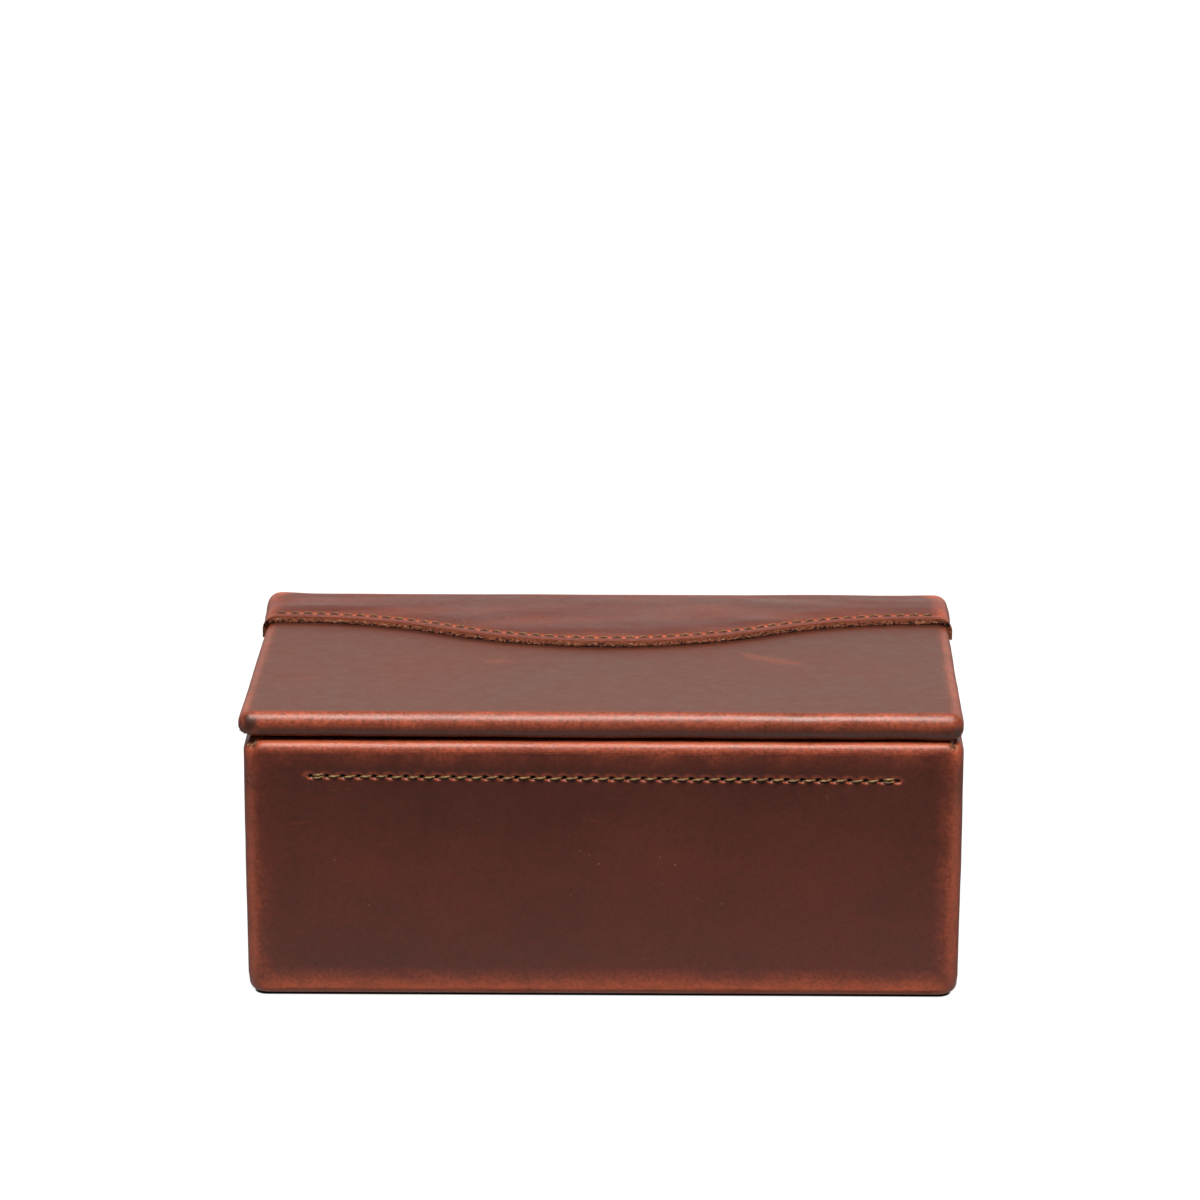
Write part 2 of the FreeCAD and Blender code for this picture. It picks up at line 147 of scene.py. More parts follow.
def cutAcross(axis, places):
    normal = Vector()
    normal[axis] = 1
    for place in places:
        bpy.ops.mesh.select_all(action="SELECT")
        bpy.ops.mesh.bisect(plane_co=normal * place, plane_no=normal, threshold=snug)


def evenPlaces(low, high, step):
    count = max(1, round((high - low) / step))
    return [low + (high - low) * i / count for i in range(count + 1)]


netShape = Settings(longer=1.6, straight=0.999, alike=0.02 * mm)


def netCuts(piece, axis, step):
    # divides the long straight edges along one axis, in even parts
    def long(a, b):
        run = abs(a[axis] - b[axis])
        return run > netShape.longer * step and run > netShape.straight * (a - b).length

    cage = bmesh.from_edit_mesh(piece.data)
    ends = [(edge.verts[0].co, edge.verts[1].co) for edge in cage.edges]
    lengths = {round((a - b).length, 5) for a, b in ends if long(a, b)}
    for length in sorted(lengths):
        pickEdges(piece, lambda a, b: long(a, b) and abs((a - b).length - length) < netShape.alike)
        bpy.ops.mesh.subdivide(number_cuts=max(1, round(length / step) - 1))


def shrinkLoop(piece, z, low, high, inset):
    # a new loop beside the one at a level, drawn in by the inset on each side
    size = high - low
    pickEdges(piece, lambda a, b: onLevel(a, b, z))
    extrudeEdges((0, 0, 0))
    bpy.ops.transform.resize(value=(1 - 2 * inset / size.x, 1 - 2 * inset / size.y, 1),
                             center_override=(low + high) / 2)


def sculpt(piece, move):
    spots = [(v.co.copy(), v.normal.copy()) for v in piece.data.vertices]
    moved = [c for p, n in spots for c in p + move(p, n)]
    piece.data.vertices.foreach_set("co", moved)
    piece.data.update()


def thicken(piece, thickness, rimSlot=0):
    onlyActive(piece)
    wall = piece.modifiers.new("hide", "SOLIDIFY")
    wall.thickness = thickness
    wall.offset = -1
    wall.use_even_offset = True
    wall.material_offset_rim = rimSlot
    bpy.ops.object.modifier_apply(modifier="hide")


def paint(piece, **masks):
    for name, value in masks.items():
        layer = piece.data.attributes.new(name, "FLOAT", "POINT")
        layer.data.foreach_set("value", [value(v.co) for v in piece.data.vertices])


def smoothShade(piece, angle):
    onlyActive(piece)
    bpy.ops.object.shade_smooth_by_angle(angle=math.radians(angle))


def share(value):
    return max(0.0, min(1.0, value))


def ease(low, high, value):
    t = share((value - low) / (high - low))
    return t * t * (3 - 2 * t)


def rise(band, away):
    # a band is its strength, where it begins to change and where that ends
    strength, near, far = band
    return strength * ease(near, far, away)


def fade(band, away):
    return band[0] - rise(band, away)


def ridge(shape, value):
    # a rounded ridge is its height, where it stands and its width
    height, at, width = shape
    return height * math.exp(-((value - at) / width) ** 2)


def drift(point, size, shift):
    return noise.noise(point / size + Vector((shift, shift * 0.7, -shift)))


def wave(point, layer):
    # a layer of unevenness is its height, its size and a shift of its own
    height, size, shift = layer
    return height * drift(point, size, shift)


def waves(point, layers):
    return sum(wave(point, layer) for layer in layers)


def patches(point, layers):
    return 1 + waves(point, layers)


def flat(point):
    return Vector((point.x, point.y, 0))


def toSides(p, low, high):
    # how far a point lies in from the sides of a block, along X and along Y
    return min(p.x - low.x, high.x - p.x), min(p.y - low.y, high.y - p.y)


def standAt(point, along, out):
    # the place of a copy whose X runs along and whose Z points out
    along = along.normalized()
    side = out.cross(along).normalized()
    place = Matrix((along, side, along.cross(side))).transposed().to_4x4()
    place.translation = point
    return place


def dress(piece, *materials):
    piece.data.materials.clear()
    for material in materials:
        piece.data.materials.append(material)


# material tools: they add to the node tree that was opened last

bench = Settings(tree=None)


def fill(socket, value):
    if isinstance(value, bpy.types.NodeSocket):
        bench.tree.links.new(value, socket)
    else:
        socket.default_value = value


def fillAll(node, inputs):
    for name, value in inputs.items():
        fill(node.inputs[name], value)


def addNode(kind, inputs=()):
    made = bench.tree.nodes.new("ShaderNode" + kind)
    fillAll(made, dict(inputs))
    return made


def openTree(owner):
    owner.use_nodes = True
    owner.node_tree.nodes.clear()
    bench["tree"] = owner.node_tree


def newMaterial(name):
    material = bpy.data.materials.new(name)
    openTree(material)
    shader = addNode("BsdfPrincipled")
    addNode("OutputMaterial", {"Surface": shader.outputs["BSDF"]})
    coords = addNode("TexCoord")
    return material, shader, coords.outputs["Object"]


def stretched(coords, scale, turn=(0, 0, 0)):
    made = addNode("Mapping", {"Vector": coords, "Scale": scale, "Rotation": turn})
    return made.outputs["Vector"]


def cloud(coords, scale, detail=3, roughness=0.55, warp=0.0):
    made = addNode("TexNoise", {
        "Vector": coords, "Scale": scale, "Detail": detail, "Roughness": roughness, "Distortion": warp})
    return made.outputs["Fac"]


def cells(coords, scale, feature="F1"):
    made = addNode("TexVoronoi", {"Vector": coords, "Scale": scale})
    made.feature = feature
    return made.outputs["Distance"]


def ramp(source, stops):
    made = addNode("ValToRGB", {"Fac": source})
    elements = made.color_ramp.elements
    while len(elements) < len(stops):
        elements.new(0.5)
    for element, (place, color) in zip(elements, stops):
        element.position = place
        element.color = (*color, 1)
    return made.outputs["Color"]


def level(source, low, high, toLow=0.0, toHigh=1.0):
    made = addNode("MapRange", {
        "Value": source, "From Min": low, "From Max": high, "To Min": toLow, "To Max": toHigh})
    return made.outputs["Result"]


def mixColor(amount, first, second):
    made = addNode("Mix")
    made.data_type = "RGBA"
    firstColor, secondColor, mixed = made.inputs[6], made.inputs[7], made.outputs[2]
    fill(made.inputs["Factor"], amount)
    fill(firstColor, first)
    fill(secondColor, second)
    return mixed


def sums(kind, first, second=0.0):
    made = addNode("Math")
    made.operation = kind
    fill(made.inputs[0], first)
    fill(made.inputs[1], second)
    return made.outputs["Value"]


def times(first, second):
    return sums("MULTIPLY", first, second)


def painted(name):
    made = addNode("Attribute")
    made.attribute_name = name
    return made.outputs["Fac"]


def axes(coords):
    made = addNode("SeparateXYZ", {"Vector": coords})
    return made.outputs["X"], made.outputs["Y"], made.outputs["Z"]


def relief(*layers):
    # each layer is a height, a strength and a depth, laid over the one before
    normal = None
    for height, strength, depth in layers:
        made = addNode("Bump", {"Height": height, "Strength": strength, "Distance": depth})
        if normal is not None:
            fill(made.inputs["Normal"], normal)
        normal = made.outputs["Normal"]
    return normal


# finishes

leatherColors = {
    "deep": (0.087, 0.0168, 0.0098, 1),
    "body": (0.119, 0.0234, 0.0134, 1),
    # the lid's tones are shifted greener and less red for the sheen its top takes: painted sheen
    "lidSheenDeep": (0.084, 0.0190, 0.0098, 1),
    "lidSheenBody": (0.113, 0.0262, 0.0134, 1),
    # the orange of worn pull-up leather; the wear mask also uses it for painted light and painted shade
    "wornAndLit": (0.36, 0.072, 0.033, 1),
    # bright orange for painted highlights round the holes and between the stitches, painted light on the
    # rim's crest, and painted light over the worn foot and corners
    "raised": (0.60, 0.125, 0.052, 1),
    # near black for dark flecks and for the painted shade in holes, creases and under the rim and the
    # flap
    "hole": (0.006, 0.003, 0.002, 1),
    "patina": (0.030, 0.011, 0.008, 1),
    "speck": (0.42, 0.22, 0.14, 1),
    "fibres": ((0.34, (0.020, 0.008, 0.005)), (0.50, (0.20, 0.075, 0.040)), (0.62, (0.52, 0.30, 0.17))),
}

# clouds are a scale, a detail, a roughness and a warp, and ranges go into level
leatherMarks = Settings(
    cloudDetail=(4, 0.6, 0.4), cloudRange=(0.36, 0.66), mottle=(170, 4, 0.62, 0.3),
    mottleRange=(0.35, 0.7, 0.0, 0.35), pulls=(60, 3, 0.6), pullRange=(0.52, 0.72, 0.0),
    scratchStretch=(30, 30, 420), scratchTurn=(0, 0.5, 0), scratch=(1.0, 2, 0.5, 1.5),
    scratchRange=(0.70, 0.76), scratchAmount=0.20, flecks=(760, 3, 0.65, 0.2),
    wearMottle=(0.2, 0.75, 0.6, 1.2), wearFlecks=(0.34, 0.62, 0.62, 1.15),
    fleckDark=(0.30, 0.60, 0.24, 0.0), raisedMottle=(0.3, 0.6, 0.5, 1.0), specks=420,
    speckRange=(0.16, 0.10), seldom=(90, 2), seldomRange=(0.66, 0.70), speckAmount=0.4,
    fibres=(1100, 3, 0.7, 0.6), roughRange=(0.3, 0.7), roughLess=0.04, roughMore=0.07,
    roughMottle=(0.3, 0.7, -0.03, 0.05), grainCells=950, grainDeep=0.4 * mm, pores=(2600, 2, 0.6),
    poreRelief=(0.10, 0.2 * mm), fleckRelief=(0.09, 0.5 * mm), mottleRelief=(0.14, 1.2 * mm),
)


def waxedLeather(name, cloudScale, pullStretch, pull, rough, specular, grain, tones=("deep", "body")):
    m, colors = leatherMarks, leatherColors
    deep, plain = [colors[tone] for tone in tones]
    material, shader, coords = newMaterial(name)
    clouds = cloud(coords, cloudScale, *m.cloudDetail)
    mottle = cloud(coords, *m.mottle)
    flecks = cloud(coords, *m.flecks)
    color = mixColor(level(clouds, *m.cloudRange), deep, plain)
    color = mixColor(level(mottle, *m.mottleRange), color, plain)

    # long faint pull marks, and a few short scratches
    pulls = cloud(stretched(coords, pullStretch), *m.pulls)
    color = mixColor(level(pulls, *m.pullRange, pull), color, colors["wornAndLit"])
    scratch = cloud(stretched(coords, m.scratchStretch, m.scratchTurn), *m.scratch)
    scratch = times(level(scratch, *m.scratchRange), m.scratchAmount)
    color = mixColor(scratch, color, colors["wornAndLit"])

    # wear and painted light: the painted mask, broken up by the mottling
    broken = times(painted("wear"), level(mottle, *m.wearMottle))
    broken = times(broken, level(flecks, *m.wearFlecks))
    color = mixColor(broken, color, colors["wornAndLit"])
    color = mixColor(level(flecks, *m.fleckDark), color, colors["hole"])
    # painted highlights and painted light, partly over wear, mixed in as the bright orange
    raised = times(painted("lip"), level(mottle, *m.raisedMottle))
    color = mixColor(raised, color, colors["raised"])

    # a few pale specks, then the other painted masks
    speck = level(cells(coords, m.specks), *m.speckRange)
    seldom = level(cloud(coords, *m.seldom), *m.seldomRange)
    speck = times(times(speck, seldom), m.speckAmount)
    color = mixColor(speck, color, colors["speck"])
    color = mixColor(painted("patina"), color, colors["patina"])
    fibres = ramp(cloud(coords, *m.fibres), colors["fibres"])
    color = mixColor(painted("raw"), color, fibres)
    # painted shade: the dark mask mixes in the near black
    color = mixColor(painted("dark"), color, colors["hole"])

    smooth, dull = rough - m.roughLess, rough + m.roughMore
    roughness = level(clouds, *m.roughRange, smooth, dull)
    pebbles = cells(coords, m.grainCells, "SMOOTH_F1")
    fillAll(shader, {
        "Base Color": color,
        "Roughness": sums("ADD", roughness, level(mottle, *m.roughMottle)),
        "Specular IOR Level": specular,
        "Normal": relief((pebbles, grain, m.grainDeep),
                         (cloud(coords, *m.pores), *m.poreRelief),
                         (flecks, *m.fleckRelief), (mottle, *m.mottleRelief)),
    })
    return material


# heights are measured down from the flap's top
cutLook = Settings(
    layerStretch=(760, 760, 1700), layers=(1.0, 4, 0.75, 1.2), layerRelief=(0.8, 0.6 * mm),
    layerColors=((0.28, (0.030, 0.008, 0.005)), (0.44, (0.130, 0.034, 0.017)),
                 (0.58, (0.245, 0.073, 0.036)), (0.74, (0.50, 0.23, 0.12))),
    pitStretch=(0.7, 0.7, 1.2), pits=(1250, 3, 0.65), pitRange=(0.48, 0.38), pitRelief=(0.5, 0.6 * mm),
    pitColor=(0.012, 0.005, 0.004, 1), pitTop=0.4 * mm, pitLow=1.9 * mm, pitAmount=(-0.05, 0.13),
    tabTop=2.5 * mm, tabLow=3.7 * mm, burnLow=0.6 * mm, burnAmount=(0.0, 0.75),
    burnColor=(0.165, 0.040, 0.020, 1),
)


def rawEdge(name):
    # the cut edge of a hide: packed fibres, dark pits and a few pale threads
    s, top = cutLook, flapHigh.z
    material, shader, coords = newMaterial(name)
    layers = cloud(stretched(coords, s.layerStretch), *s.layers)
    pits = cloud(stretched(coords, s.pitStretch), *s.pits)
    color = ramp(layers, s.layerColors)

    # dark pits, most of them low down, and a burnished upper side
    height = axes(coords)[2]
    lower = level(height, top - s.pitTop, top - s.pitLow, *s.pitAmount)
    lower = times(lower, level(height, top - s.tabLow, top - s.tabTop))
    pitted = level(sums("SUBTRACT", pits, lower), *s.pitRange)
    color = mixColor(pitted, color, s.pitColor)
    burnished = level(height, top - s.burnLow, top, *s.burnAmount)
    fillAll(shader, {
        "Base Color": mixColor(burnished, color, s.burnColor),
        "Roughness": 0.85, "Specular IOR Level": 0.15,
        "Normal": relief((layers, *s.layerRelief), (pits, *s.pitRelief)),
    })
    return material


threadLook = Settings(
    tone=(700, 3, 0.6), toneRange=(0.35, 0.65), strands=(4200, 2), strandRelief=(0.5, 0.2 * mm))


def waxedThread(name, light, dark):
    s = threadLook
    material, shader, coords = newMaterial(name)
    tone = level(cloud(coords, *s.tone), *s.toneRange)
    fillAll(shader, {
        "Base Color": mixColor(tone, (*dark, 1), (*light, 1)),
        "Roughness": 0.55, "Specular IOR Level": 0.3,
        "Normal": relief((cloud(coords, *s.strands), *s.strandRelief)),
    })
    return material


suedeLook = Settings(
    nap=(34, 4, 0.6, 0.3), napTone=(0.35, 0.65), napRough=(0.3, 0.7, 0.82, 0.95),
    napRelief=(0.2, 2.0 * mm), fuzz=(2200, 3, 0.7), fuzzTone=(0.45, 0.75, 0.0, 0.35),
    fuzzRelief=(0.55, 0.3 * mm))


def suede(name, light, dark):
    s = suedeLook
    material, shader, coords = newMaterial(name)
    nap = cloud(coords, *s.nap)
    fuzz = cloud(coords, *s.fuzz)
    color = mixColor(level(nap, *s.napTone), (*dark, 1), (*light, 1))
    fillAll(shader, {
        "Base Color": mixColor(level(fuzz, *s.fuzzTone), color, (*light, 1)),
        "Roughness": level(nap, *s.napRough), "Specular IOR Level": 0.12,
        "Sheen Weight": 0.25, "Sheen Roughness": 0.5,
        "Normal": relief((fuzz, *s.fuzzRelief), (nap, *s.napRelief)),
    })
    return material


plyLook = Settings(
    stretch=(14, 160, 160), figure=(1.0, 5, 0.6, 0.7), figureRelief=(0.3, 0.6 * mm),
    colors=((0.3, (0.36, 0.22, 0.11)), (0.55, (0.52, 0.35, 0.19)), (0.75, (0.62, 0.45, 0.27))),
    plies=160, plyWarp=1.5, glue=0.25, glueColor=(0.28, 0.16, 0.08, 1))


def plywood(name):
    s = plyLook
    material, shader, coords = newMaterial(name)
    figure = cloud(stretched(coords, s.stretch), *s.figure)
    plies = addNode("TexWave", {"Vector": coords, "Scale": s.plies, "Distortion": s.plyWarp})
    glue = times(plies.outputs["Fac"], s.glue)
    fillAll(shader, {
        "Base Color": mixColor(glue, ramp(figure, s.colors), s.glueColor),
        "Roughness": 0.7, "Normal": relief((figure, *s.figureRelief)),
    })
    return material


bodyLeather = waxedLeather(
    "bodyLeather", cloudScale=17, pullStretch=(0.5, 1.0, 1.4), pull=0.045,
    rough=0.39, specular=0.42, grain=0.18)
# a copy of the leather for the lid, its tones tinted for painted sheen on the top
lidTopLeather = waxedLeather(
    "lidTopLeather", cloudScale=14, pullStretch=(0.10, 1.8, 1.0), pull=0.03,
    rough=0.40, specular=0.48, grain=0.08, tones=("lidSheenDeep", "lidSheenBody"))
hingeLeather = waxedLeather(
    "hingeLeather", cloudScale=24, pullStretch=(0.2, 1.2, 1.0), pull=0.05,
    rough=0.40, specular=0.35, grain=0.10)
dividerLeather = waxedLeather(
    "dividerLeather", cloudScale=20, pullStretch=(1.0, 0.3, 1.0), pull=0.10,
    rough=0.48, specular=0.30, grain=0.14)
cutEdge = rawEdge("cutEdge")
oliveThread = waxedThread("oliveThread", (0.27, 0.172, 0.064), (0.105, 0.060, 0.025))
darkThread = waxedThread("darkThread", (0.25, 0.125, 0.055), (0.085, 0.040, 0.018))
paleFibre = waxedThread("paleFibre", (0.62, 0.34, 0.18), (0.20, 0.065, 0.030))
liningSuede = suede("liningSuede", (0.44, 0.275, 0.150), (0.375, 0.225, 0.120))
baseSuede = suede("baseSuede", (0.26, 0.11, 0.06), (0.17, 0.065, 0.035))
boardPly = plywood("boardPly")
print("finishes ready")


# walls: one hide round the sides, rolled over the rim and turned under the foot

frontRow = Settings(
    height=83.4 * mm, fall=0.0053, firstHole=-102.9 * mm, lastHole=103.7 * mm, holes=38,
    holeLong=0.95 * mm, holeWide=0.60 * mm, holeLean=-13, hole=(1.2 * mm, 0, 0.95),
    ring=(0.16 * mm, 1.9, 0.55), sink=(0.22 * mm, 0, 1.6 * mm), endFade=5 * mm, reach=112 * mm,
    shaped=(1.5 * mm, 8 * mm), painted=(3 * mm, 6 * mm),
)
holePitch = (frontRow.lastHole - frontRow.firstHole) / (frontRow.holes - 1)

slitIn = 3.6 * mm         # from the side to the slit where the rolled rim ends

wallShape = Settings(
    corner=6.0 * mm, cornerCuts=12, rimThick=9.0 * mm, turnIn=18.0 * mm, turnUnder=13.0 * mm,
    rimRound=4.2 * mm, rimCuts=8, footRound=2.6 * mm, footCuts=6, hide=2.0 * mm, grid=4.0 * mm,
    stripHalf=3.2 * mm, stripReach=110 * mm, stripSkin=1.0 * mm, stripCuts=12,
    bulge=(0.35 * mm, 45 * mm, 0.0), ripple=(0.08 * mm, 9 * mm, 5.0), lean=0.45 * mm, footLean=0.3,
    footLift=(0.35 * mm, 0.0, 20 * mm), rimPart=(1.0, 2 * mm, 12 * mm), rimWave=(0.25 * mm, 22 * mm, 2.0),
    dipFlat=2 * mm, dipLeft=(0.35 * mm, 1.0 * mm, 6.0 * mm), slit=(1.0, slitIn, 0.8 * mm),
    slitPart=(1.0, 2 * mm, 7 * mm), slitReach=9 * mm, slitDeep=0.7 * mm, slitBack=0.3 * mm,
    footPart=(1.0, 0.5 * mm, 6.5 * mm), footCorner=(1.0 * mm, 3 * mm, 9 * mm), smooth=60,
)

wallWear = Settings(
    inside=0.25, insideFrom=6.3 * mm, insideLow=4 * mm,
    patches=((0.35, 14 * mm, 3.0), (0.25, 5 * mm, 1.0)),
    ragged=((1.3 * mm, 9 * mm, 6.0), (0.9 * mm, 3 * mm, 2.0)), footRagged=0.45,
    corner=(1.0, 2.0 * mm, 8.0 * mm), cornerHaze=(0.06, 5 * mm, 19 * mm), rim=(0.9, 1.6 * mm, 5.2 * mm),
    foot=(1.0, 4.6 * mm, 8.6 * mm), footHaze=(0.08, 5 * mm, 16 * mm), crestReach=7 * mm,
    frontCrest=(0.8, 0.4 * mm, 1.7 * mm), crest=(0.35, 0.4 * mm, 1.7 * mm),
    footCrest=(0.6, 2.0 * mm, 6.0 * mm), cornerCrest=(0.45, 1.5 * mm, 5.0 * mm),
    ringBelow=(1.0, 1.5, 0.5), ringAbove=(0.5, 2.0, 1.0), shadeFrom=(0.24, 4.5 * mm, 7.5 * mm),
    shadeTo=(1.0, 14 * mm, 50 * mm), hole=(1.0, 0.75, 1.15), rawReach=6 * mm,
    rawSlit=(1.0, slitIn, 1.0 * mm), rawDrop=(1.0, 1.0 * mm, 1.32 * mm),
)


def rowHeight(x):
    return frontRow.height - frontRow.fall * x


def nearestHole(point):
    # how many hole sizes off the nearest needle hole is, and the height over the row
    row = frontRow
    i = round((point.x - row.firstHole) / holePitch)
    i = max(0, min(row.holes - 1, i))
    dx = point.x - (row.firstHole + i * holePitch)
    dz = point.z - rowHeight(point.x)
    lean = math.radians(row.holeLean)
    long = dx * math.cos(lean) + dz * math.sin(lean)
    wide = -dx * math.sin(lean) + dz * math.cos(lean)
    return math.hypot(long / row.holeLong, wide / row.holeWide), dz


def besideRow(p, deep, tall):
    return p.y < wallLow.y + deep and abs(p.z - frontRow.height) < tall


def makeWalls():
    s, w, row = wallShape, wallWear, frontRow
    low, high = wallLow, wallHigh
    size = high - low

    def inset(p):
        return min(toSides(p, low, high))

    def atRim(a, b):
        return onLevel(a, b, high.z) and abs(inset(a) - inset(b)) < s.rimThick / 2

    def atFoot(a, b):
        return onLevel(a, b, low.z) and max(inset(a), inset(b)) < s.turnUnder / 2

    piece = startShell("wallLeather", low, high, lambda n: abs(n.z) > faceOn)
    roundEdges(piece, lambda a, b: abs(a.z - b.z) > size.z / 2, s.corner, s.cornerCuts)
    shrinkLoop(piece, low.z, low, high, s.turnUnder)
    shrinkLoop(piece, high.z, low, high, s.rimThick)
    extrudeEdges((0, 0, -s.turnIn))
    faceOutward()
    roundEdges(piece, atRim, s.rimRound, s.rimCuts)
    roundEdges(piece, atFoot, s.footRound, s.footCuts)

    # an even net over the walls, with two levels that frame the sewn strip
    rowLow, rowHigh = row.height - s.stripHalf, row.height + s.stripHalf
    cutAcross(2, [rowLow, rowHigh])
    for axis in range(3):
        netCuts(piece, axis, s.grid)

    # the sewn strip on the front gets a finer net for its needle holes
    pickFaces(piece, lambda c, n: n.y < -faceOn and c.y < low.y + s.stripSkin
              and rowLow < c.z < rowHigh and abs(c.x) < s.stripReach)
    bpy.ops.mesh.subdivide(number_cuts=s.stripCuts)
    closeEdit()

    def shape(p, n):
        move = Vector()
        outward = flat(n)
        nearX, nearY = toSides(p, low, high)
        up, drop = p.z - low.z, high.z - p.z
        move.x += s.lean * (s.footLean + (1 - s.footLean) * up / size.z)
        move.z += fade(s.footLift, up)
        if min(nearX, nearY) < s.rimThick / 2:
            # the outside swells a little, and the foot of each upright corner draws in
            drawn = fade(s.footPart, up) * fade(s.footCorner, math.hypot(nearX, nearY))
            move += outward * (wave(p, s.bulge) + wave(p, s.ripple) - drawn)
        rimPart = fade(s.rimPart, drop)
        move.z += rimPart * wave(flat(p), s.rimWave)
        if p.x < 0:
            away = math.hypot(max(0, nearX - s.dipFlat), max(0, nearY - s.dipFlat))
            move.z -= rimPart * fade(s.dipLeft, away)
        if p.y < low.y + s.slitReach:
            # the slit where the rolled rim ends beside each front corner
            slit = ridge(s.slit, nearX) * fade(s.slitPart, drop)
            move.z -= s.slitDeep * slit
            move.y += s.slitBack * slit
        if besideRow(p, *row.shaped) and abs(p.x) < row.reach:
            ring, dz = nearestHole(p)
            ends = ease(row.firstHole - row.endFade, row.firstHole, p.x)
            ends *= ease(row.lastHole + row.endFade, row.lastHole, p.x)
            move.y += ridge(row.hole, ring) - ridge(row.ring, ring) + ends * ridge(row.sink, dz)
        return move

    def wear(p):
        if inset(p) > w.insideFrom and p.z > low.z + w.insideLow:
            return w.inside
        ragged = waves(p, w.ragged)
        side = max(toSides(p, low, high)) + ragged
        up = p.z - low.z + w.footRagged * ragged
        corner = fade(w.corner, side) + fade(w.cornerHaze, side)
        # the foot's band is wear, and painted light bounced up from the floor
        foot = fade(w.foot, up) + fade(w.footHaze, up)
        rim = fade(w.rim, high.z - p.z + ragged)
        return share(max(corner, rim, foot) * patches(p, w.patches))

    def lip(p):
        # painted light: highlights round the needle holes, strongest below them, painted light on the
        # crest of the rim, and painted light over the wear of the foot and the corners
        if besideRow(p, *row.painted):
            ring, dz = nearestHole(p)
            return ridge(w.ringBelow if dz < 0 else w.ringAbove, ring)
        inFront = p.y < low.y + w.crestReach
        crest = fade(w.frontCrest if inFront else w.crest, high.z - p.z)
        crest += fade(w.footCrest, p.z - low.z)
        return max(crest, fade(w.cornerCrest, max(toSides(p, low, high))))

    def dark(p):
        # painted shade: in the needle holes, and in a band under the rim
        drop = high.z - p.z
        shade = rise(w.shadeFrom, drop) * fade(w.shadeTo, drop)
        if besideRow(p, *row.painted):
            shade = max(shade, fade(w.hole, nearestHole(p)[0]))
        return shade

    def raw(p):
        # the raw end of the rolled rim, beside each front corner
        drop = high.z - p.z
        if p.y > low.y + w.rawReach or drop > w.rawReach:
            return 0.0
        return ridge(w.rawSlit, toSides(p, low, high)[0]) * ridge(w.rawDrop, drop)

    sculpt(piece, shape)
    thicken(piece, s.hide)
    paint(piece, wear=wear, lip=lip, dark=dark, raw=raw)
    smoothShade(piece, s.smooth)
    dress(piece, bodyLeather)
    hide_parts("wall_leather")
    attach(piece, "box")
    return piece


wallLeather = makeWalls()
print("walls:", len(wallLeather.data.polygons), "faces")


# the flap's wavy front edge: three equal arcs between two straight ends

waveShape = Settings(rise=28.7 * mm, straightEnd=10.0 * mm, step=0.2 * mm)
endY = flapLow.y + waveShape.rise
waveHalf = flapHigh.x - waveShape.straightEnd
waveRadius = (waveHalf ** 2 + waveShape.rise ** 2) / (4 * waveShape.rise)


def waveDepth(x):
    # how far the wavy edge stands in front of the straight ends
    x = abs(x)
    if x >= waveHalf:
        return 0.0
    if x > waveHalf / 2:
        return waveRadius - math.sqrt(waveRadius ** 2 - (waveHalf - x) ** 2)
    return waveShape.rise - (waveRadius - math.sqrt(waveRadius ** 2 - x ** 2))


def waveSlope(x):
    step = waveShape.step
    return (waveDepth(x + step) - waveDepth(x - step)) / (2 * step)


def fromEdge(p):
    # how far a point of the flap lies behind its wavy edge
    return (p.y - (endY - waveDepth(p.x))) / math.hypot(1, waveSlope(p.x))


# lid: a padded board wrapped in hide, with bead-round edges

lidShape = Settings(
    corner=4.8 * mm, cornerCuts=10, topRound=4.3 * mm, lowRound=4.6 * mm, edgeCuts=9, turnUnder=14.0 * mm,
    hide=2.0 * mm, grid=2.2 * mm, gridIn=5.8 * mm, smooth=60, topSkin=0.5 * mm,
    topWave=(0.10 * mm, 40 * mm, 0.0), edgeReach=6 * mm, edgeWave=(0.25 * mm, 30 * mm, 4.0),
    ripple=(0.07 * mm, 7 * mm, 9.0), frontReach=9 * mm, lowPart=(1.0, 0.0, 6 * mm),
    lowWave=(0.25 * mm, 16 * mm, 7.0), raiseLeft=0.9 * mm, raiseRight=0.3 * mm,
    dropRight=(0.35 * mm, 108 * mm, 122 * mm), foldTop=2.5 * mm, foldLow=3.0 * mm, foldTurn=22,
    foldLeft=-8, foldRight=4, foldIn=(0.6 * mm, 6, 9), foldOut=(0.27 * mm, -16, 11),
    foldRipple=(0.22 * mm, 2.6 * mm, 3.3), foldSlack=0.2 * mm, askewFront=-0.7 * mm, askewRear=0.6 * mm,
    narrowFront=-0.6 * mm, narrowFlap=0.2 * mm, narrowRear=0.8 * mm,
)

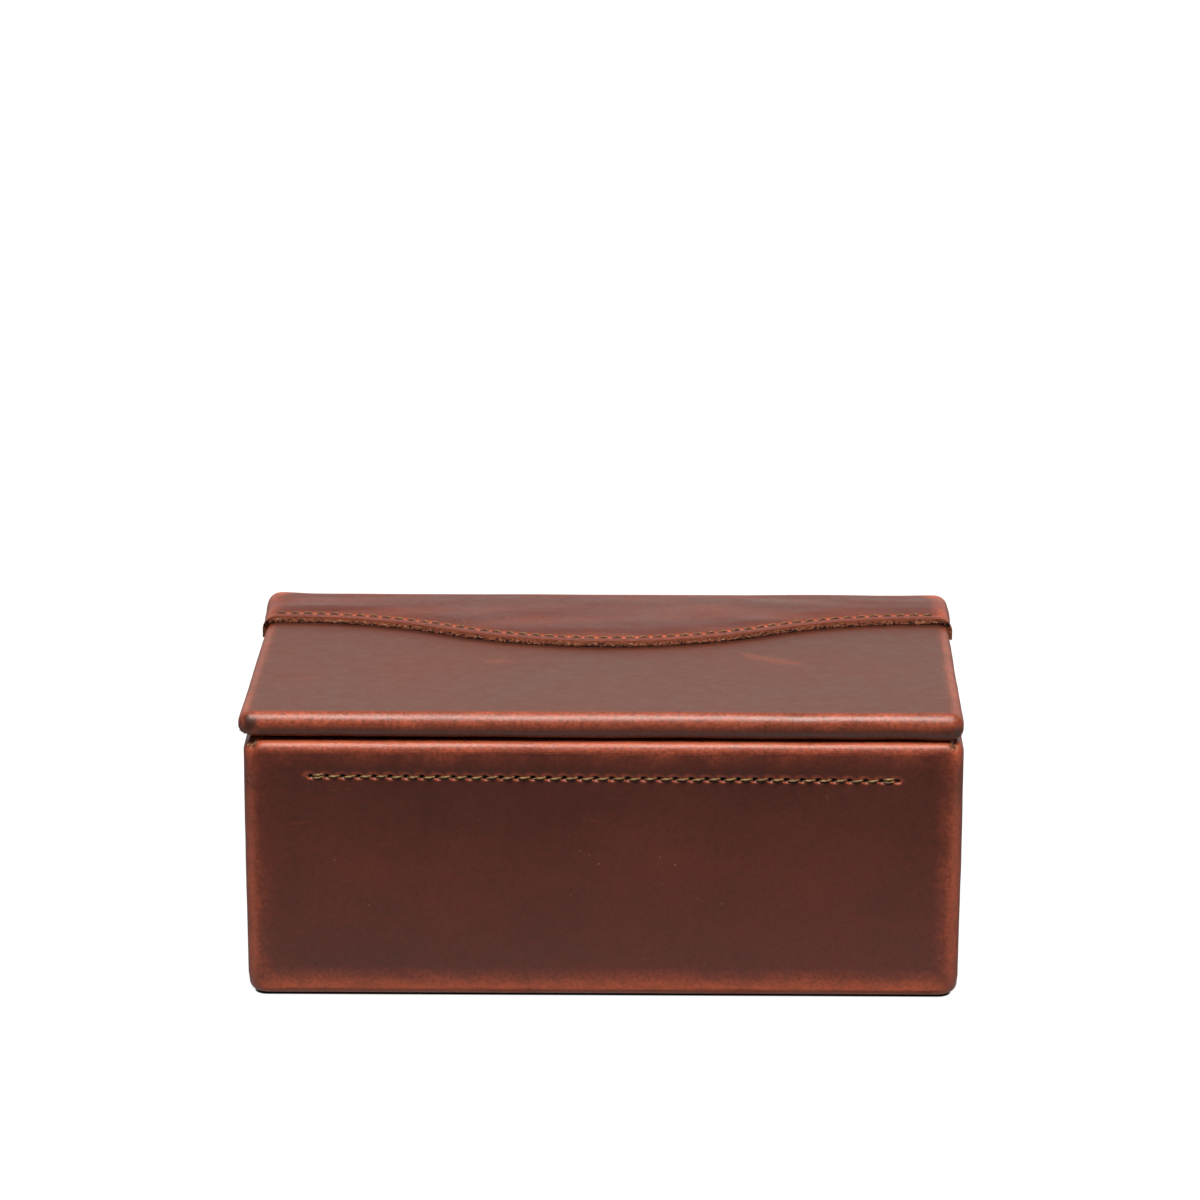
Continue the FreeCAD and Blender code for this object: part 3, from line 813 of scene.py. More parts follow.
lidWear = Settings(
    patches=((0.35, 12 * mm, 3.0), (0.25, 4 * mm, 1.0)), side=(0.7, 2.0 * mm, 5.0 * mm),
    sideRagged=(0.6 * mm, 6 * mm, 2.0), topSkin=1 * mm, byFlap=(0.42, 1.0 * mm, 7.5 * mm),
    front=(0.85, 2.5 * mm, 5.2 * mm), frontDrop=(0.85, 3.2 * mm, 6.2 * mm),
    corner=(0.75, 1.0 * mm, 4.5 * mm), cornerFrom=122 * mm, streakLeast=0.85,
    streakMore=(0.55, 2 * mm, 5 * mm), streakLong=15 * mm, streakTall=1.5 * mm, spotReach=7 * mm,
    spotFrom=116 * mm, spotRagged=((0.6, 2.2 * mm, 2.2),),
    spotLeft=(0.9, 124.2 * mm, 102.6 * mm, 2.6 * mm, 3.0 * mm),
    spotRight=(0.6, 123.2 * mm, 100.6 * mm, 2.8 * mm, 2.6 * mm), spotEdge=(0.55, 1.25), rawReach=6 * mm,
    rawFrom=120 * mm, rawTall=(0.8, 1.6 * mm, 3.2 * mm), rawWide=(123 * mm, 125.5 * mm),
    rawBreak=(-0.2, 0.3), rawWave=(1.0, 1.5 * mm, 5.0), shade=(0.80, 1.2 * mm, 7.0 * mm),
    shadeFrom=30 * mm,
)


def lidSettle(p):
    # made by hand, the lid lies a little askew and narrows to the back
    s = lidShape
    toFlap = share((p.y - lidLow.y) / (endY - lidLow.y))
    toRear = share((p.y - endY) / (lidHigh.y - endY))
    askew = s.askewFront + (s.askewRear - s.askewFront) * toFlap
    narrow = s.narrowFront + (s.narrowFlap - s.narrowFront) * toFlap
    narrow += (s.narrowRear - s.narrowFlap) * toRear
    return Vector((askew - narrow * p.x / lidHigh.x, 0, 0))


def makeLid():
    s, w = lidShape, lidWear
    low, high = lidLow, lidHigh
    size = high - low

    def inset(p):
        return min(toSides(p, low, high))

    def atFoot(a, b):
        return onLevel(a, b, low.z) and max(inset(a), inset(b)) < s.turnUnder / 2

    piece = startShell("lidLeather", low, high, lambda n: n.z < -faceOn)
    roundEdges(piece, lambda a, b: abs(a.z - b.z) > size.z / 2, s.corner, s.cornerCuts)
    shrinkLoop(piece, low.z, low, high, s.turnUnder)
    faceOutward()
    roundEdges(piece, lambda a, b: onLevel(a, b, high.z), s.topRound, s.edgeCuts)
    roundEdges(piece, atFoot, s.lowRound, s.edgeCuts)
    for axis in (0, 1):
        cutAcross(axis, evenPlaces(low[axis] + s.gridIn, high[axis] - s.gridIn, s.grid))
    closeEdit()

    def cornerTurn(p):
        # the angle round a front corner, from -45 at the front face to 45 at the side
        nearX, nearY = toSides(p, low, high)
        inX, inY = nearX - s.corner, nearY - s.corner
        if p.y > 0 or max(inX, inY) > s.foldSlack:
            return None
        return math.degrees(math.atan2(-inX, -inY)) - 45

    def shape(p, n):
        move = Vector()
        outward = flat(n)
        if p.z > high.z - s.topSkin:
            move.z += wave(p, s.topWave)
        if inset(p) < s.edgeReach:
            move += outward * (wave(flat(p), s.edgeWave) + wave(p, s.ripple))
        if p.y < low.y + s.frontReach:
            leftward = 0.5 - 0.5 * p.x / high.x
            lift = s.raiseRight + (s.raiseLeft - s.raiseRight) * leftward
            lift += wave(flat(p), s.lowWave) - rise(s.dropRight, p.x)
            move.z += lift * fade(s.lowPart, p.z - low.z)
        turn = cornerTurn(p)
        if turn is not None:
            # the hide is pinched and folded under at the front corners
            down = ease(high.z - s.foldTop, low.z + s.foldLow, p.z)
            lean = turn + s.foldTurn * (high.z - p.z) / size.z
            lean += s.foldLeft if p.x < 0 else s.foldRight
            fold = wave(p, s.foldRipple) - ridge(s.foldIn, lean) + ridge(s.foldOut, lean)
            move += outward * fold * down
        return move + lidSettle(p)

    def wear(p):
        edge = inset(p - lidSettle(p))
        drop = high.z - p.z
        if p.y > low.y + s.frontReach:
            band = fade(w.side, edge + wave(p, w.sideRagged))
            # painted shade: red on the top just in front of the flap's edge
            if drop < w.topSkin:
                band = max(band, fade(w.byFlap, -fromEdge(p)))
        else:
            band = fade(w.front, edge) * (1 - rise(w.frontDrop, drop))
            if abs(p.x) > w.cornerFrom:
                band = max(band, fade(w.corner, edge))
            streak = noise.noise(Vector((p.x / w.streakLong, 0, p.z / w.streakTall)))
            band *= w.streakLeast + rise(w.streakMore, drop) * streak
        return share(band * patches(p, w.patches))

    def patina(p):
        # dark handling marks on the two front corners
        if p.y > low.y + w.spotReach or abs(p.x) < w.spotFrom:
            return 0.0
        strength, x, z, wide, tall = w.spotLeft if p.x < 0 else w.spotRight
        spot = math.hypot((abs(p.x) - x) / wide, (p.z - z) / tall)
        return fade((strength, *w.spotEdge), spot * patches(p, w.spotRagged))

    def raw(p):
        # the folded ends of the hide, under the corners
        if p.y > low.y + w.rawReach or abs(p.x) < w.rawFrom:
            return 0.0
        ends = fade(w.rawTall, p.z - low.z) * ease(*w.rawWide, abs(p.x))
        return ends * ease(*w.rawBreak, wave(p, w.rawWave))

    def dark(p):
        # the deep shade along the foot of the flap
        if p.z < high.z - w.topSkin or p.y < low.y + w.shadeFrom:
            return 0.0
        return fade(w.shade, -fromEdge(p))

    sculpt(piece, shape)
    thicken(piece, s.hide)
    paint(piece, wear=wear, dark=dark, patina=patina, raw=raw)
    smoothShade(piece, s.smooth)
    dress(piece, lidTopLeather)
    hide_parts("lid_leather")
    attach(piece, "lid")
    return piece


lidLeather = makeLid()
print("lid:", len(lidLeather.data.polygons), "faces")


# hinge hide: a wavy flap over the back of the lid, the bend, and the panel down the back

sewIn = 5.0 * mm          # from the wavy edge to its sewing
creaseIn = 2.9 * mm       # and to the crease pressed along it

hingeShape = Settings(
    hide=2.0 * mm, rearCorner=5.0 * mm, rearCuts=7, topRound=4.8 * mm, topCuts=8, tabDrop=8.1 * mm,
    lowCorner=8.0 * mm, lowCuts=6, smooth=50, frontKeep=12.0 * mm, grid=1.25 * mm, sideGrid=1.5 * mm,
    sideOver=2 * mm, panelGrid=4.0 * mm, panelIn=1 * mm, bendGrid=0.9 * mm,
    stripCuts=(0.5, 1.1, 1.8, 2.5, 3.2, 4.0, 4.7, 5.4, 6.2, 7.2, 8.5, 10.0), pitch=4.95 * mm,
    rowStep=0.1 * mm, rowEnd=7.5 * mm, groove=(0.55 * mm, sewIn, 1.2 * mm),
    crease=(0.16 * mm, creaseIn, 0.45 * mm), edgeDrop=(0.30 * mm, 0.0, 2.2 * mm),
    edgeLift=(0.50 * mm, 0.5 * mm, 7 * mm), dome=(0.9 * mm, 6 * mm, 14 * mm), domeEnd=10 * mm,
    domeShare=0.55, domeWave=(0.45, 20 * mm, 6.0), streak=(0.34 * mm, 7 * mm, 12 * mm),
    streakLong=46 * mm, streakWide=7.5 * mm, streakLean=0.10, streakSeed=(3.1, 0.4), topSkin=2 * mm,
    tabShare=0.5, flare=(0.3 * mm, 2 * mm, 5 * mm), flareIn=3 * mm, flareReach=(1.0, 0.0, 8 * mm),
    frayReach=0.3 * mm, edgeFray=((0.25 * mm, 3.0 * mm, 1.5), (0.12 * mm, 1.1 * mm, 8.0)),
    panelWave=(0.12 * mm, 30 * mm, 0.0), cutReach=0.6 * mm, cutRagged=((0.5, 1.6 * mm, 4.0),),
    skive=(0.9 * mm, 0.6 * mm, 1.6 * mm), skiveEnd=(2 * mm, 9 * mm), tabBack=(1.3 * mm, 3 * mm, 5 * mm),
    tabInner=(2.2 * mm, 2.8 * mm), narrowFlap=1.1 * mm, narrowRear=0.45 * mm, askew=0.6 * mm,
    askewRear=0.3 * mm, peakLeft=(0.60 * mm, 0, 9 * mm), peakRight=(0.2 * mm, 0, 9 * mm),
    peakIn=(6 * mm, 4 * mm), rearDrop=(0.5 * mm, 0.1, 0.9),
)

hingeWear = Settings(
    patches=((0.4, 12 * mm, 3.0), (0.3, 4 * mm, 1.0)), edge=(0.27, 3 * mm, 9 * mm),
    side=(0.8, 2 * mm, 9 * mm), rear=(0.65, 2.5 * mm, 7 * mm), corner=(1.0, 4 * mm, 15 * mm),
    streak=(0.16, -0.05, 0.40), panel=(0.6, 0.5 * mm, 5 * mm),
    bend=(0.5, (bendLow.z + bendHigh.z) / 2, 4 * mm), slack=0.5 * mm, lipReach=4 * mm,
    cornerLip=(0.45, 5 * mm, 13 * mm), rowLip=(0.15, 0, 1.3 * mm), gapLip=(0.9, 0, 1.2 * mm),
    crease=(0.5, creaseIn, 0.5 * mm),
)


def flapSettle(p):
    # follows the lid: a little askew, narrower at the back, with the rear corners moulded up
    s = hingeShape
    onLid = ease(bendLow.z, bendHigh.z, p.z)
    toRear = share((p.y - endY) / (flapHigh.y - endY))
    narrow = s.narrowFlap + (s.narrowRear - s.narrowFlap) * toRear
    wide = math.copysign(ease(panelHigh.x, flapHigh.x, abs(p.x)), p.x)
    inX, inY = s.peakIn
    off = math.hypot(flapHigh.x - inX - abs(p.x), flapHigh.y - inY - p.y)
    lift = ridge(s.peakLeft if p.x < 0 else s.peakRight, off) - rise(s.rearDrop, toRear)
    askew = s.askew + (s.askewRear - s.askew) * toRear
    return Vector((onLid * (askew - wide * narrow), 0, lift * onLid))


def flapRow():
    # places and directions of the flap's stitches, evenly spaced along the wave
    s = hingeShape

    def onRow(x):
        return Vector((x, endY - waveDepth(x) + sewIn * math.hypot(1, waveSlope(x)), flapHigh.z))

    spots = []
    x, run = s.rowEnd - flapHigh.x, s.pitch
    while x < flapHigh.x - s.rowEnd:
        here, there = onRow(x), onRow(x + s.rowStep)
        if run >= s.pitch:
            run = 0.0
            spots.append((here + flapSettle(here), there - here))
        run += (there - here).length
        x += s.rowStep
    return spots


flapStitches = flapRow()
flapGaps = [(a[0] + b[0]) / 2 for a, b in zip(flapStitches, flapStitches[1:])]


def streaks(p):
    # long shallow waves across the flap, from being moulded over the lid
    s = hingeShape
    shift, layer = s.streakSeed
    across = (p.y + s.streakLean * abs(p.x)) / s.streakWide
    return noise.noise(Vector((p.x / s.streakLong + shift, across, layer)))


def makeHinge():
    s, w = hingeShape, hingeWear
    tabLow = flapHigh.z - s.tabDrop
    low, high = Vector((flapLow.x, endY, tabLow)), flapHigh
    flatEnd = high.y - s.rearCorner

    def atRear(a, b):
        return min(a.y, b.y) > high.y - snug

    def upright(a, b):
        return atRear(a, b) and abs(a.z - b.z) > s.tabDrop / 2

    def onTop(a, b):
        return onLevel(a, b, high.z) and max(a.y, b.y) > low.y + 10 * snug

    def overPanel(a, b):
        return atRear(a, b) and onLevel(a, b, low.z) and max(abs(a.x), abs(b.x)) < panelHigh.x + snug

    piece = startShell("hingeHide", low, high, lambda n: min(n.y, n.z) < -faceOn)
    roundEdges(piece, upright, s.rearCorner, s.rearCuts)
    roundEdges(piece, onTop, s.topRound, s.topCuts)
    cutAcross(0, [panelLow.x, panelHigh.x])
    pickEdges(piece, overPanel)
    extrudeEdges((0, 0, panelLow.z - low.z))
    pickPoints(piece, lambda p: p.z < panelLow.z + snug and abs(p.x) > panelHigh.x - 10 * snug)
    bpy.ops.mesh.bevel(offset=s.lowCorner, segments=s.lowCuts, affect="VERTICES", clamp_overlap=False)
    faceOutward()

    # a fine net, finest along the wavy edge and over the bend
    cutAcross(0, evenPlaces(panelLow.x, panelHigh.x, s.grid))
    for side in (-1, 1):
        outer = evenPlaces(panelHigh.x + s.sideGrid, waveHalf + s.sideOver, s.sideGrid)
        cutAcross(0, [side * x for x in outer])
    cutAcross(1, [endY + behind * mm for behind in s.stripCuts])
    cutAcross(1, evenPlaces(endY + s.frontKeep, flatEnd, s.sideGrid))
    cutAcross(2, evenPlaces(panelLow.z + s.panelIn, bendLow.z, s.panelGrid))
    cutAcross(2, evenPlaces(bendLow.z, tabLow, s.bendGrid))
    closeEdit()

    def draw(p, n):
        # draws the front out to the wave, while the strip along its edge keeps its width
        if p.y > flatEnd:
            return Vector()
        return Vector((0, -waveDepth(p.x) * fade((1.0, endY + s.frontKeep, flatEnd), p.y), 0))

    def shape(p, n):
        move = Vector()
        drop = high.z - p.z
        if p.z > tabLow - 10 * snug and p.y < flatEnd + s.topSkin:
            behind = fromEdge(p)
            lift = fade(s.edgeLift, behind) - fade(s.edgeDrop, behind)
            lift -= ridge(s.groove, behind) + ridge(s.crease, behind)
            dome = rise(s.dome, behind) * fade((1.0, flatEnd - s.domeEnd, flatEnd), p.y)
            lift += dome * (s.domeShare + wave(flat(p), s.domeWave))
            lift += rise(s.streak, behind) * streaks(p)
            move += n * lift * (1 if drop < s.topSkin else s.tabShare)
            if abs(p.x) > high.x - s.flareIn:
                move.x += math.copysign(rise(s.flare, drop) * fade(s.flareReach, behind), p.x)
            if behind < s.frayReach:
                move.y += waves(p, s.edgeFray)
        if p.y > high.y - s.panelIn and p.z < bendLow.z:
            move.y += wave(p, s.panelWave)
        return move + flapSettle(p)

    def slant(p, n):
        # the cut slants: its lower side reaches further forward than the grain side
        if p.z < tabLow - s.panelIn or fromEdge(p) > s.cutReach:
            return Vector()
        drop, side = high.z - p.z, high.x - abs(p.x)
        back = rise(s.tabBack, drop) * ease(*s.tabInner, side)
        back -= rise(s.skive, drop) * ease(*s.skiveEnd, side)
        return Vector((0, back * patches(p, s.cutRagged), 0))

    def wear(p):
        if p.z > tabLow - w.slack:
            side, rear = high.x - abs(p.x), high.y - p.y
            # the streak term paints the troughs of the flap's waves red: painted shading, beside the wear
            value = max(fade(w.edge, fromEdge(p)), fade(w.side, side), fade(w.rear, rear),
                        fade(w.corner, math.hypot(side, rear)), rise(w.streak, -streaks(p)))
        else:
            value = max(fade(w.panel, min(panelHigh.x - abs(p.x), p.z - panelLow.z)),
                        ridge(w.bend, p.z))
        return share(value * patches(p, w.patches))

    def lip(p):
        # painted highlights along the sewn row and on the bulges between the stitches, and painted light
        # over the wear of the rear corners
        if p.z < tabLow:
            return 0.0
        fromRow = fromEdge(p) - sewIn
        if abs(fromRow) > w.lipReach:
            return fade(w.cornerLip, math.hypot(high.x - abs(p.x), high.y - p.y))
        apart = min(math.hypot(p.x - gap.x, p.y - gap.y) for gap in flapGaps)
        return max(ridge(w.rowLip, fromRow), ridge(w.gapLip, apart))

    def dark(p):
        # painted shade in the crease pressed along the edge
        if p.z < high.z - s.topSkin:
            return 0.0
        return ridge(w.crease, fromEdge(p))

    sculpt(piece, draw)
    sculpt(piece, shape)
    dress(piece, hingeLeather, cutEdge)
    thicken(piece, s.hide, 1)
    sculpt(piece, slant)
    paint(piece, wear=wear, lip=lip, dark=dark)
    smoothShade(piece, s.smooth)
    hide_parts("lid_flap", "hinge_leather", "back_leather")
    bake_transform(piece)
    return piece


hingeHide = makeHinge()
print("hinge hide:", len(hingeHide.data.polygons), "faces")


# sewing: one two-ply stitch, copied along each row

threadShape = Settings(
    sides=6, steps=7, flat=0.62, twist=42, slim=0.35, slimFrom=(0.6, 1.0), raised=0.35, dive=4, smooth=80,
)
fibreShape = Settings(threadShape, sides=3, steps=3, flat=1.0, twist=0)

# length, thickness and arch of one stitch or fibre
stitchSizes = {
    "frontStitching": (4.35 * mm, 0.92 * mm, 0.55 * mm),
    "flapStitching": (3.5 * mm, 0.80 * mm, 0.55 * mm), "backStitching": (4.4 * mm, 1.05 * mm, 0.65 * mm),
    "rimFibres": (2.0 * mm, 0.19 * mm, 0.5 * mm), "lidFibres": (2.0 * mm, 0.19 * mm, 0.5 * mm),
}
stitchPlaces = Settings(
    out=0.02 * mm, frontLean=7, frontLeanBy=2.5, frontOutBy=0.05 * mm, frontUpBy=0.12 * mm,
    double=0.55 * mm, flapUp=0.06 * mm, flapUpBy=0.06 * mm, flapTurnBy=4, backIn=5.0 * mm, backTop=4 * mm,
    backPitch=5.4 * mm, backLean=0.10,
)


def makeStitch(length, thick, arch, s):
    start = -length / 2
    bpy.ops.mesh.primitive_circle_add(vertices=s.sides, radius=thick / 2, fill_type="NGON",
                                      location=(start, 0, 0), rotation=(0, math.pi / 2, 0))
    piece = bpy.context.object
    applyPlace()
    openEdit(piece)
    bpy.ops.mesh.select_all(action="SELECT")
    bpy.ops.transform.resize(value=(1, s.flat, 1), center_override=(start, 0, 0))
    for step in range(s.steps):
        bpy.ops.mesh.extrude_region_move(TRANSFORM_OT_translate={"value": (length / s.steps, 0, 0)})
        reach = start + length * (step + 1) / s.steps
        bpy.ops.transform.rotate(value=math.radians(s.twist), orient_axis="X",
                                 center_override=(reach, 0, 0))
    faceOutward()
    closeEdit()

    def dive(p, n):
        # the ends draw in and dive into the needle holes
        t = abs(2 * p.x / length)
        slim = s.slim * ease(*s.slimFrom, t)
        return Vector((0, -p.y * slim, -p.z * slim + arch * (s.raised - t ** s.dive)))

    sculpt(piece, dive)
    smoothShade(piece, s.smooth)
    return piece


def sew(name, places, material, shape=threadShape):
    # one stitch, copied to each place of its row
    stitch = makeStitch(*stitchSizes[name], shape)
    copies = []
    for place in places:
        copy = stitch.copy()
        copy.data = stitch.data.copy()
        copy.data.transform(place)
        bpy.context.scene.collection.objects.link(copy)
        copies.append(copy)
    bpy.data.objects.remove(stitch)
    bpy.ops.object.select_all(action="DESELECT")
    for copy in copies:
        copy.select_set(True)
    bpy.context.view_layer.objects.active = copies[0]
    bpy.ops.object.join()
    piece = bpy.context.object
    piece.name = name
    piece.data.name = name
    dress(piece, material)
    print("sewing:", name, len(piece.data.polygons), "faces")
    return piece


def around(reach):
    return random.uniform(-reach, reach)


def frontPlaces():
    s, row = stitchPlaces, frontRow
    places = []
    random.seed(11)
    for i in range(row.holes - 1):
        x = row.firstHole + (i + 0.5) * holePitch
        atEnd = i in (0, row.holes - 2)
        for offset in (-s.double, s.double) if atEnd else (0.0,):
            lean = math.radians(s.frontLean + around(s.frontLeanBy))
            y = wallLow.y + s.out + around(s.frontOutBy)
            z = rowHeight(x) + offset + around(s.frontUpBy)
            along = Vector((math.cos(lean), 0, math.sin(lean)))
            places.append(standAt(Vector((x, y, z)), along, Vector((0, -1, 0))))
    return places


def flapPlaces():
    s = stitchPlaces
    places = []
    random.seed(12)
    for spot, along in flapStitches:
        turn = Matrix.Rotation(math.radians(around(s.flapTurnBy)), 3, "Z")
        up = Vector((0, 0, s.flapUp + around(s.flapUpBy)))
        places.append(standAt(spot + up, turn @ along, Vector((0, 0, 1))))
    return places


def backPlaces():
    # up both sides of the back panel and along its foot
    s = stitchPlaces
    y = panelHigh.y + s.out
    left, right = panelLow.x + s.backIn, panelHigh.x - s.backIn
    foot, top = panelLow.z + s.backIn, bendLow.z - s.backTop
    upward, sideways = Vector((s.backLean, 0, 1)), Vector((1, 0, s.backLean))
    places = []
    for fromX, toX, toZ, along in (
            (left, left, top, upward), (right, right, top, upward), (left, right, foot, sideways)):
        begin, end = Vector((fromX, y, foot)), Vector((toX, y, toZ))
        count = round((end - begin).length / s.backPitch)
        for i in range(count):
            place = begin.lerp(end, (i + 0.5) / count)
            places.append(standAt(place, along, Vector((0, 1, 0))))
    return places


# loose fibres at the raw ends of the hide; spreads are in millimetres

fibrePlaces = Settings(
    rim=20, rimIn=2.0 * mm, rimDrop=0.8 * mm, rimSpread=(1.4, 0.8, 0.8), rimLean=(0.8, -0.3, 0.2), fold=9,
    foldSide=1.8 * mm, foldIn=2.6 * mm, foldUp=2.4 * mm, foldSpread=(1.4, 1.0, 0.5),
    foldLean=(0.9, -0.3, -0.3), gauss=0.5, scatter=0.8, sizes=(0.5, 1.2), flap=240, flapEnd=6 * mm,
    flapOut=0.25 * mm, flapDrop=(0.7, 2.1), flapSizes=(0.35, 0.9), flapTurn=0.45,
    flapFacing=(0.5, -1, 0.3),
)


def rooted(hide, point):
    # the nearest place on a hide, and the way the hide faces there
    return hide.closest_point_on_mesh(point)[1:3]


def scatter(count, hide, center, spread, lean):
    # loose fibres about a place on a hide, most of them lying along one direction
    s = fibrePlaces
    places = []
    for i in range(count):
        off = Vector([random.gauss(0, s.gauss) * wide * mm for wide in spread])
        along = lean + Vector([around(s.scatter) for _ in range(3)])
        size = Matrix.Scale(random.uniform(*s.sizes), 4)
        place, facing = rooted(hide, center + off)
        places.append(standAt(place, along, facing) @ size)
    return places


def looseFibres():
    s = fibrePlaces
    bpy.context.view_layer.update()
    onBox, onLid = [], []
    random.seed(21)
    for side in (-1, 1):
        mirror = Vector((side, 1, 1))
        slit = Vector((side * (wallHigh.x - slitIn), wallLow.y + s.rimIn, wallHigh.z - s.rimDrop))
        onBox += scatter(s.rim, wallLeather, slit, s.rimSpread, mirror * Vector(s.rimLean))
        fold = Vector((side * (lidHigh.x - s.foldSide), lidLow.y + s.foldIn, lidLow.z + s.foldUp))
        fold += lidSettle(fold)
        onLid += scatter(s.fold, lidLeather, fold, s.foldSpread, mirror * Vector(s.foldLean))
    for i in range(s.flap):
        x = around(flapHigh.x - s.flapEnd)
        slope = waveSlope(x)
        z = flapHigh.z - random.uniform(*s.flapDrop) * mm
        place = Vector((x, endY - waveDepth(x) - s.flapOut, z))
        along = Vector((1, -slope, around(s.flapTurn)))
        size = Matrix.Scale(random.uniform(*s.flapSizes), 4)
        facing = (Vector((slope, 1, 1)) * Vector(s.flapFacing)).normalized()
        place = rooted(hingeHide, place + flapSettle(place))[0]
        onLid.append(standAt(place, along, facing) @ size)
    return onBox, onLid


frontStitching = sew("frontStitching", frontPlaces(), oliveThread)
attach(frontStitching, "box")
flapStitching = sew("flapStitching", flapPlaces(), darkThread)
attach(flapStitching, "lid")
backStitching = sew("backStitching", backPlaces(), oliveThread)
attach(backStitching, "box")
fibresOnBox, fibresOnLid = looseFibres()
rimFibres = sew("rimFibres", fibresOnBox, paleFibre, fibreShape)
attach(rimFibres, "box")
lidFibres = sew("lidFibres", fibresOnLid, paleFibre, fibreShape)
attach(lidFibres, "lid")


# the frame's own nodes

for name in ("bottom_board", "front_board", "back_board", "left_board", "right_board",
             "left_divider_board", "right_divider_board", "lid_board"):
    dress(nodes[name], boardPly)
for name in ("floor_lining", "front_lining", "back_lining", "left_lining", "right_lining", "lid_lining"):
    dress(nodes[name], liningSuede)
for name in ("left_divider_leather", "right_divider_leather"):
    dress(nodes[name], dividerLeather)
dress(nodes["base_leather"], baseSuede)
print("frame nodes dressed")


# floor, light and camera

stageShape = Settings(
    floor=6.0, floorDrop=0.2 * mm, floorTone=0.10, floorGlow=0.985, footprint=(125.0 * mm, 66.9 * mm),
    footCorner=5.0 * mm, footBack=1.0 * mm, footSoft=0.5 * mm, glossFrom=(-0.10, -0.28),
    floorGloss=(0.75, 0.0), nearFrom=(-0.05, -0.08), nearGloss=(0.2, 1.0), ambient=0.13,
    rearGlow=(0.0, 0.9), rearFrom=(-0.1, 0.7), rearTop=(0.6, 0.3), roomAndSheet=(0.05, 0.80),
    sheetFrom=(0.35, 0.80), sheetTop=(0.75, 0.40), sheetTone=(1.0, 0.985, 0.93, 1), keyPower=37.0,
    keyTone=(1.0, 0.98, 0.93), keyLift=69, keyFar=1.35, keySide=0.05, keySize=(1.00, 0.80),
    keyAim=(0, 0, 80 * mm),
)
cameraView = Settings(
    lens=142.6, sensor=36, far=50, place=(17.81 * mm, -1650.9 * mm, 641.6 * mm), tilt=72.69, turn=0.675,
)


def rayKinds():
    # whether a ray comes from the camera, and whether it is a mirrored one
    path = addNode("LightPath")
    mirrored = sums("MAXIMUM", path.outputs["Is Glossy Ray"], path.outputs["Is Transmission Ray"])
    return path.outputs["Is Camera Ray"], mirrored


def makeFloor():
    s = stageShape
    bpy.ops.mesh.primitive_plane_add(size=s.floor, location=(0, 0, -s.floorDrop))
    floor = bpy.context.object
    floor.name = "floor"
    applyPlace()
    material = bpy.data.materials.new("paleFloor")
    openTree(material)
    fromCamera, mirrored = rayKinds()
    spots = addNode("TexCoord")
    x, y = axes(spots.outputs["Object"])[:2]
    across = sums("ABSOLUTE", x)
    ahead = sums("ABSOLUTE", sums("ADD", y, s.footBack))

    # painted shadow: no glow under the object's footprint, and less glow further off in mirrored rays
    corner = s.footCorner
    past = []
    for off, reach in zip((across, ahead), s.footprint):
        over = sums("MAXIMUM", sums("SUBTRACT", off, reach - corner))
        past.append(times(over, over))
    away = sums("SQRT", sums("ADD", *past))
    clear = level(away, corner - s.footSoft, corner)
    inFront = level(y, *s.glossFrom, *s.floorGloss)
    inFront = times(inFront, level(y, *s.nearFrom, *s.nearGloss))
    gloss = times(mirrored, inFront)
    seen = sums("MAXIMUM", times(fromCamera, s.floorGlow), gloss)
    glow = addNode("Emission", {
        "Color": (1, 1, 1, 1), "Strength": times(seen, clear)})
    plain = addNode("BsdfDiffuse", {"Color": (*[s.floorTone] * 3, 1)})
    both = addNode("AddShader", {0: plain.outputs["BSDF"], 1: glow.outputs["Emission"]})
    addNode("OutputMaterial", {"Surface": both.outputs["Shader"]})
    floor.data.materials.append(material)


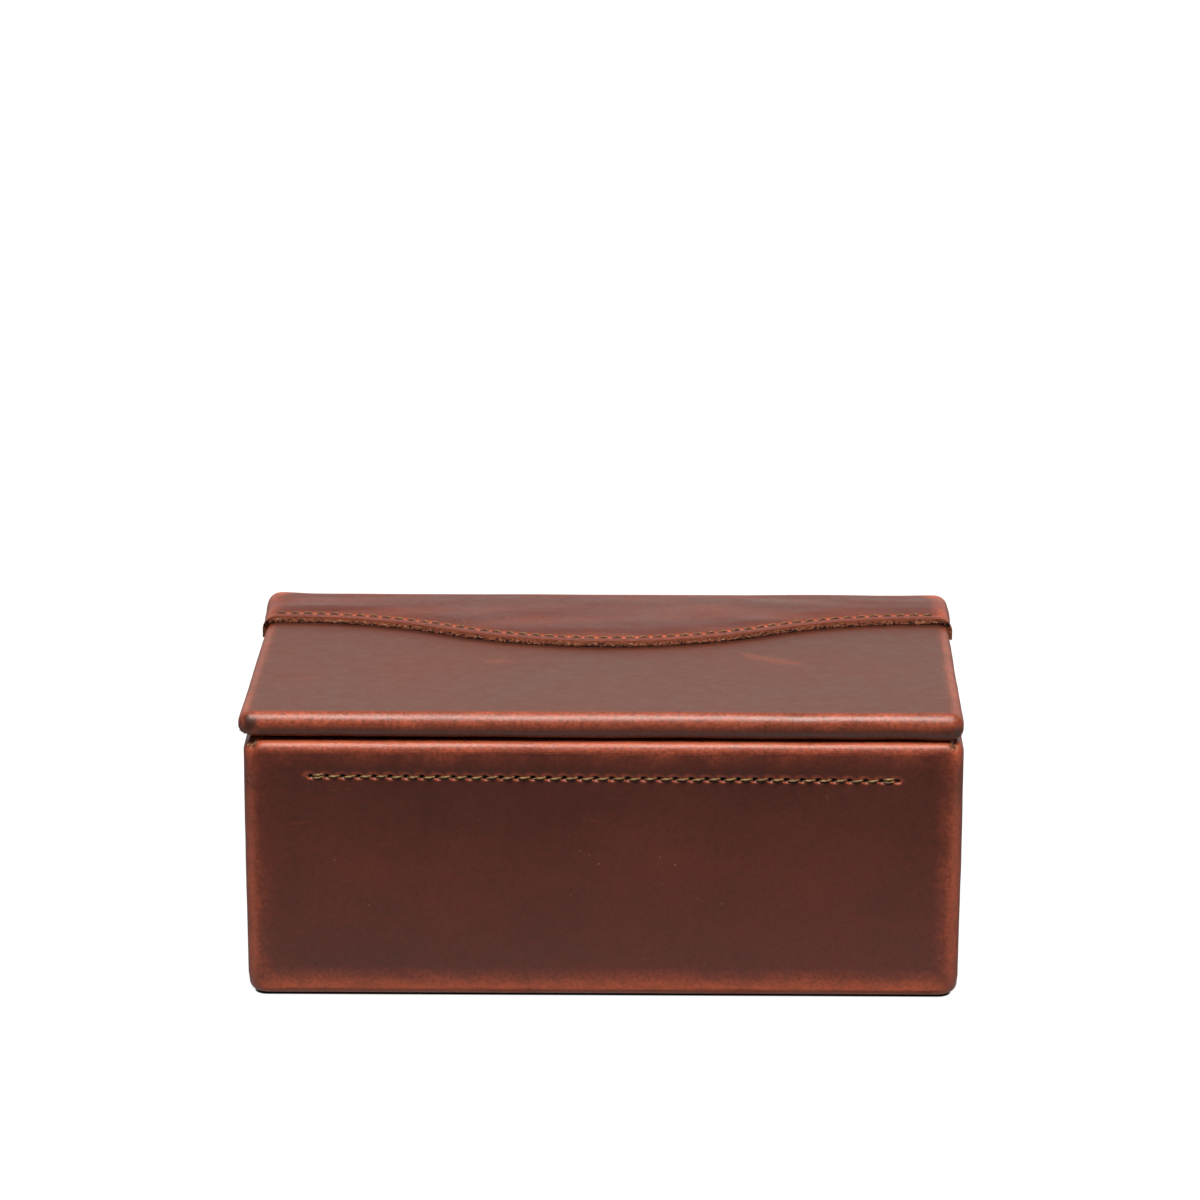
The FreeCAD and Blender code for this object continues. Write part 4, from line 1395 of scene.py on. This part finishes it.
def makeWorld():
    s = stageShape
    world = bpy.data.worlds.new("whiteRoom")
    bpy.context.scene.world = world
    openTree(world)
    fromCamera, mirrored = rayKinds()
    ways = addNode("TexCoord")
    y, z = axes(ways.outputs["Generated"])[1:]

    # mirrored rays see the white sheet behind the object and a dimmer room elsewhere
    sheet = level(y, *s.sheetFrom, *s.roomAndSheet)
    sheet = sums("MINIMUM", sheet, level(z, *s.sheetTop, *s.roomAndSheet))
    gloss = times(sheet, mirrored)

    # the room itself is dim, and a little brighter low down behind the object
    behind = level(y, *s.rearFrom, *s.rearGlow)
    behind = times(behind, level(z, *s.rearTop))
    dim = sums("ADD", behind, s.ambient)
    dim = times(sums("SUBTRACT", 1.0, mirrored), dim)
    room = addNode("Background", {
        "Color": mixColor(mirrored, (1, 1, 1, 1), s.sheetTone),
        "Strength": sums("MAXIMUM", fromCamera, sums("ADD", gloss, dim))})
    addNode("OutputWorld", {"Surface": room.outputs["Background"]})


def hangLight():
    s = stageShape
    lamp = bpy.data.lights.new("keySoftbox", "AREA")
    lamp.shape = "RECTANGLE"
    lamp.size, lamp.size_y = s.keySize
    lamp.energy = s.keyPower
    lamp.color = s.keyTone
    lift = math.radians(s.keyLift)
    back = Vector((s.keySide, -math.cos(lift) * s.keyFar, math.sin(lift) * s.keyFar))
    holder = bpy.data.objects.new("keySoftbox", lamp)
    bpy.context.scene.collection.objects.link(holder)
    holder.location = Vector(s.keyAim) + back
    holder.rotation_euler = (-back).to_track_quat("-Z", "Y").to_euler()


def makeCamera():
    s = cameraView
    lens = bpy.data.cameras.new("photoCamera")
    lens.lens = s.lens
    lens.sensor_width = s.sensor
    lens.sensor_fit = "HORIZONTAL"
    lens.clip_end = s.far
    camera = bpy.data.objects.new("photoCamera", lens)
    bpy.context.scene.collection.objects.link(camera)
    camera.location = s.place
    camera.rotation_euler = (math.radians(s.tilt), 0, math.radians(s.turn))
    bpy.context.scene.camera = camera


makeFloor()
makeWorld()
hangLight()
makeCamera()
bpy.context.scene.view_settings.view_transform = "Standard"
print("stage ready")

bpy.context.view_layer.update()
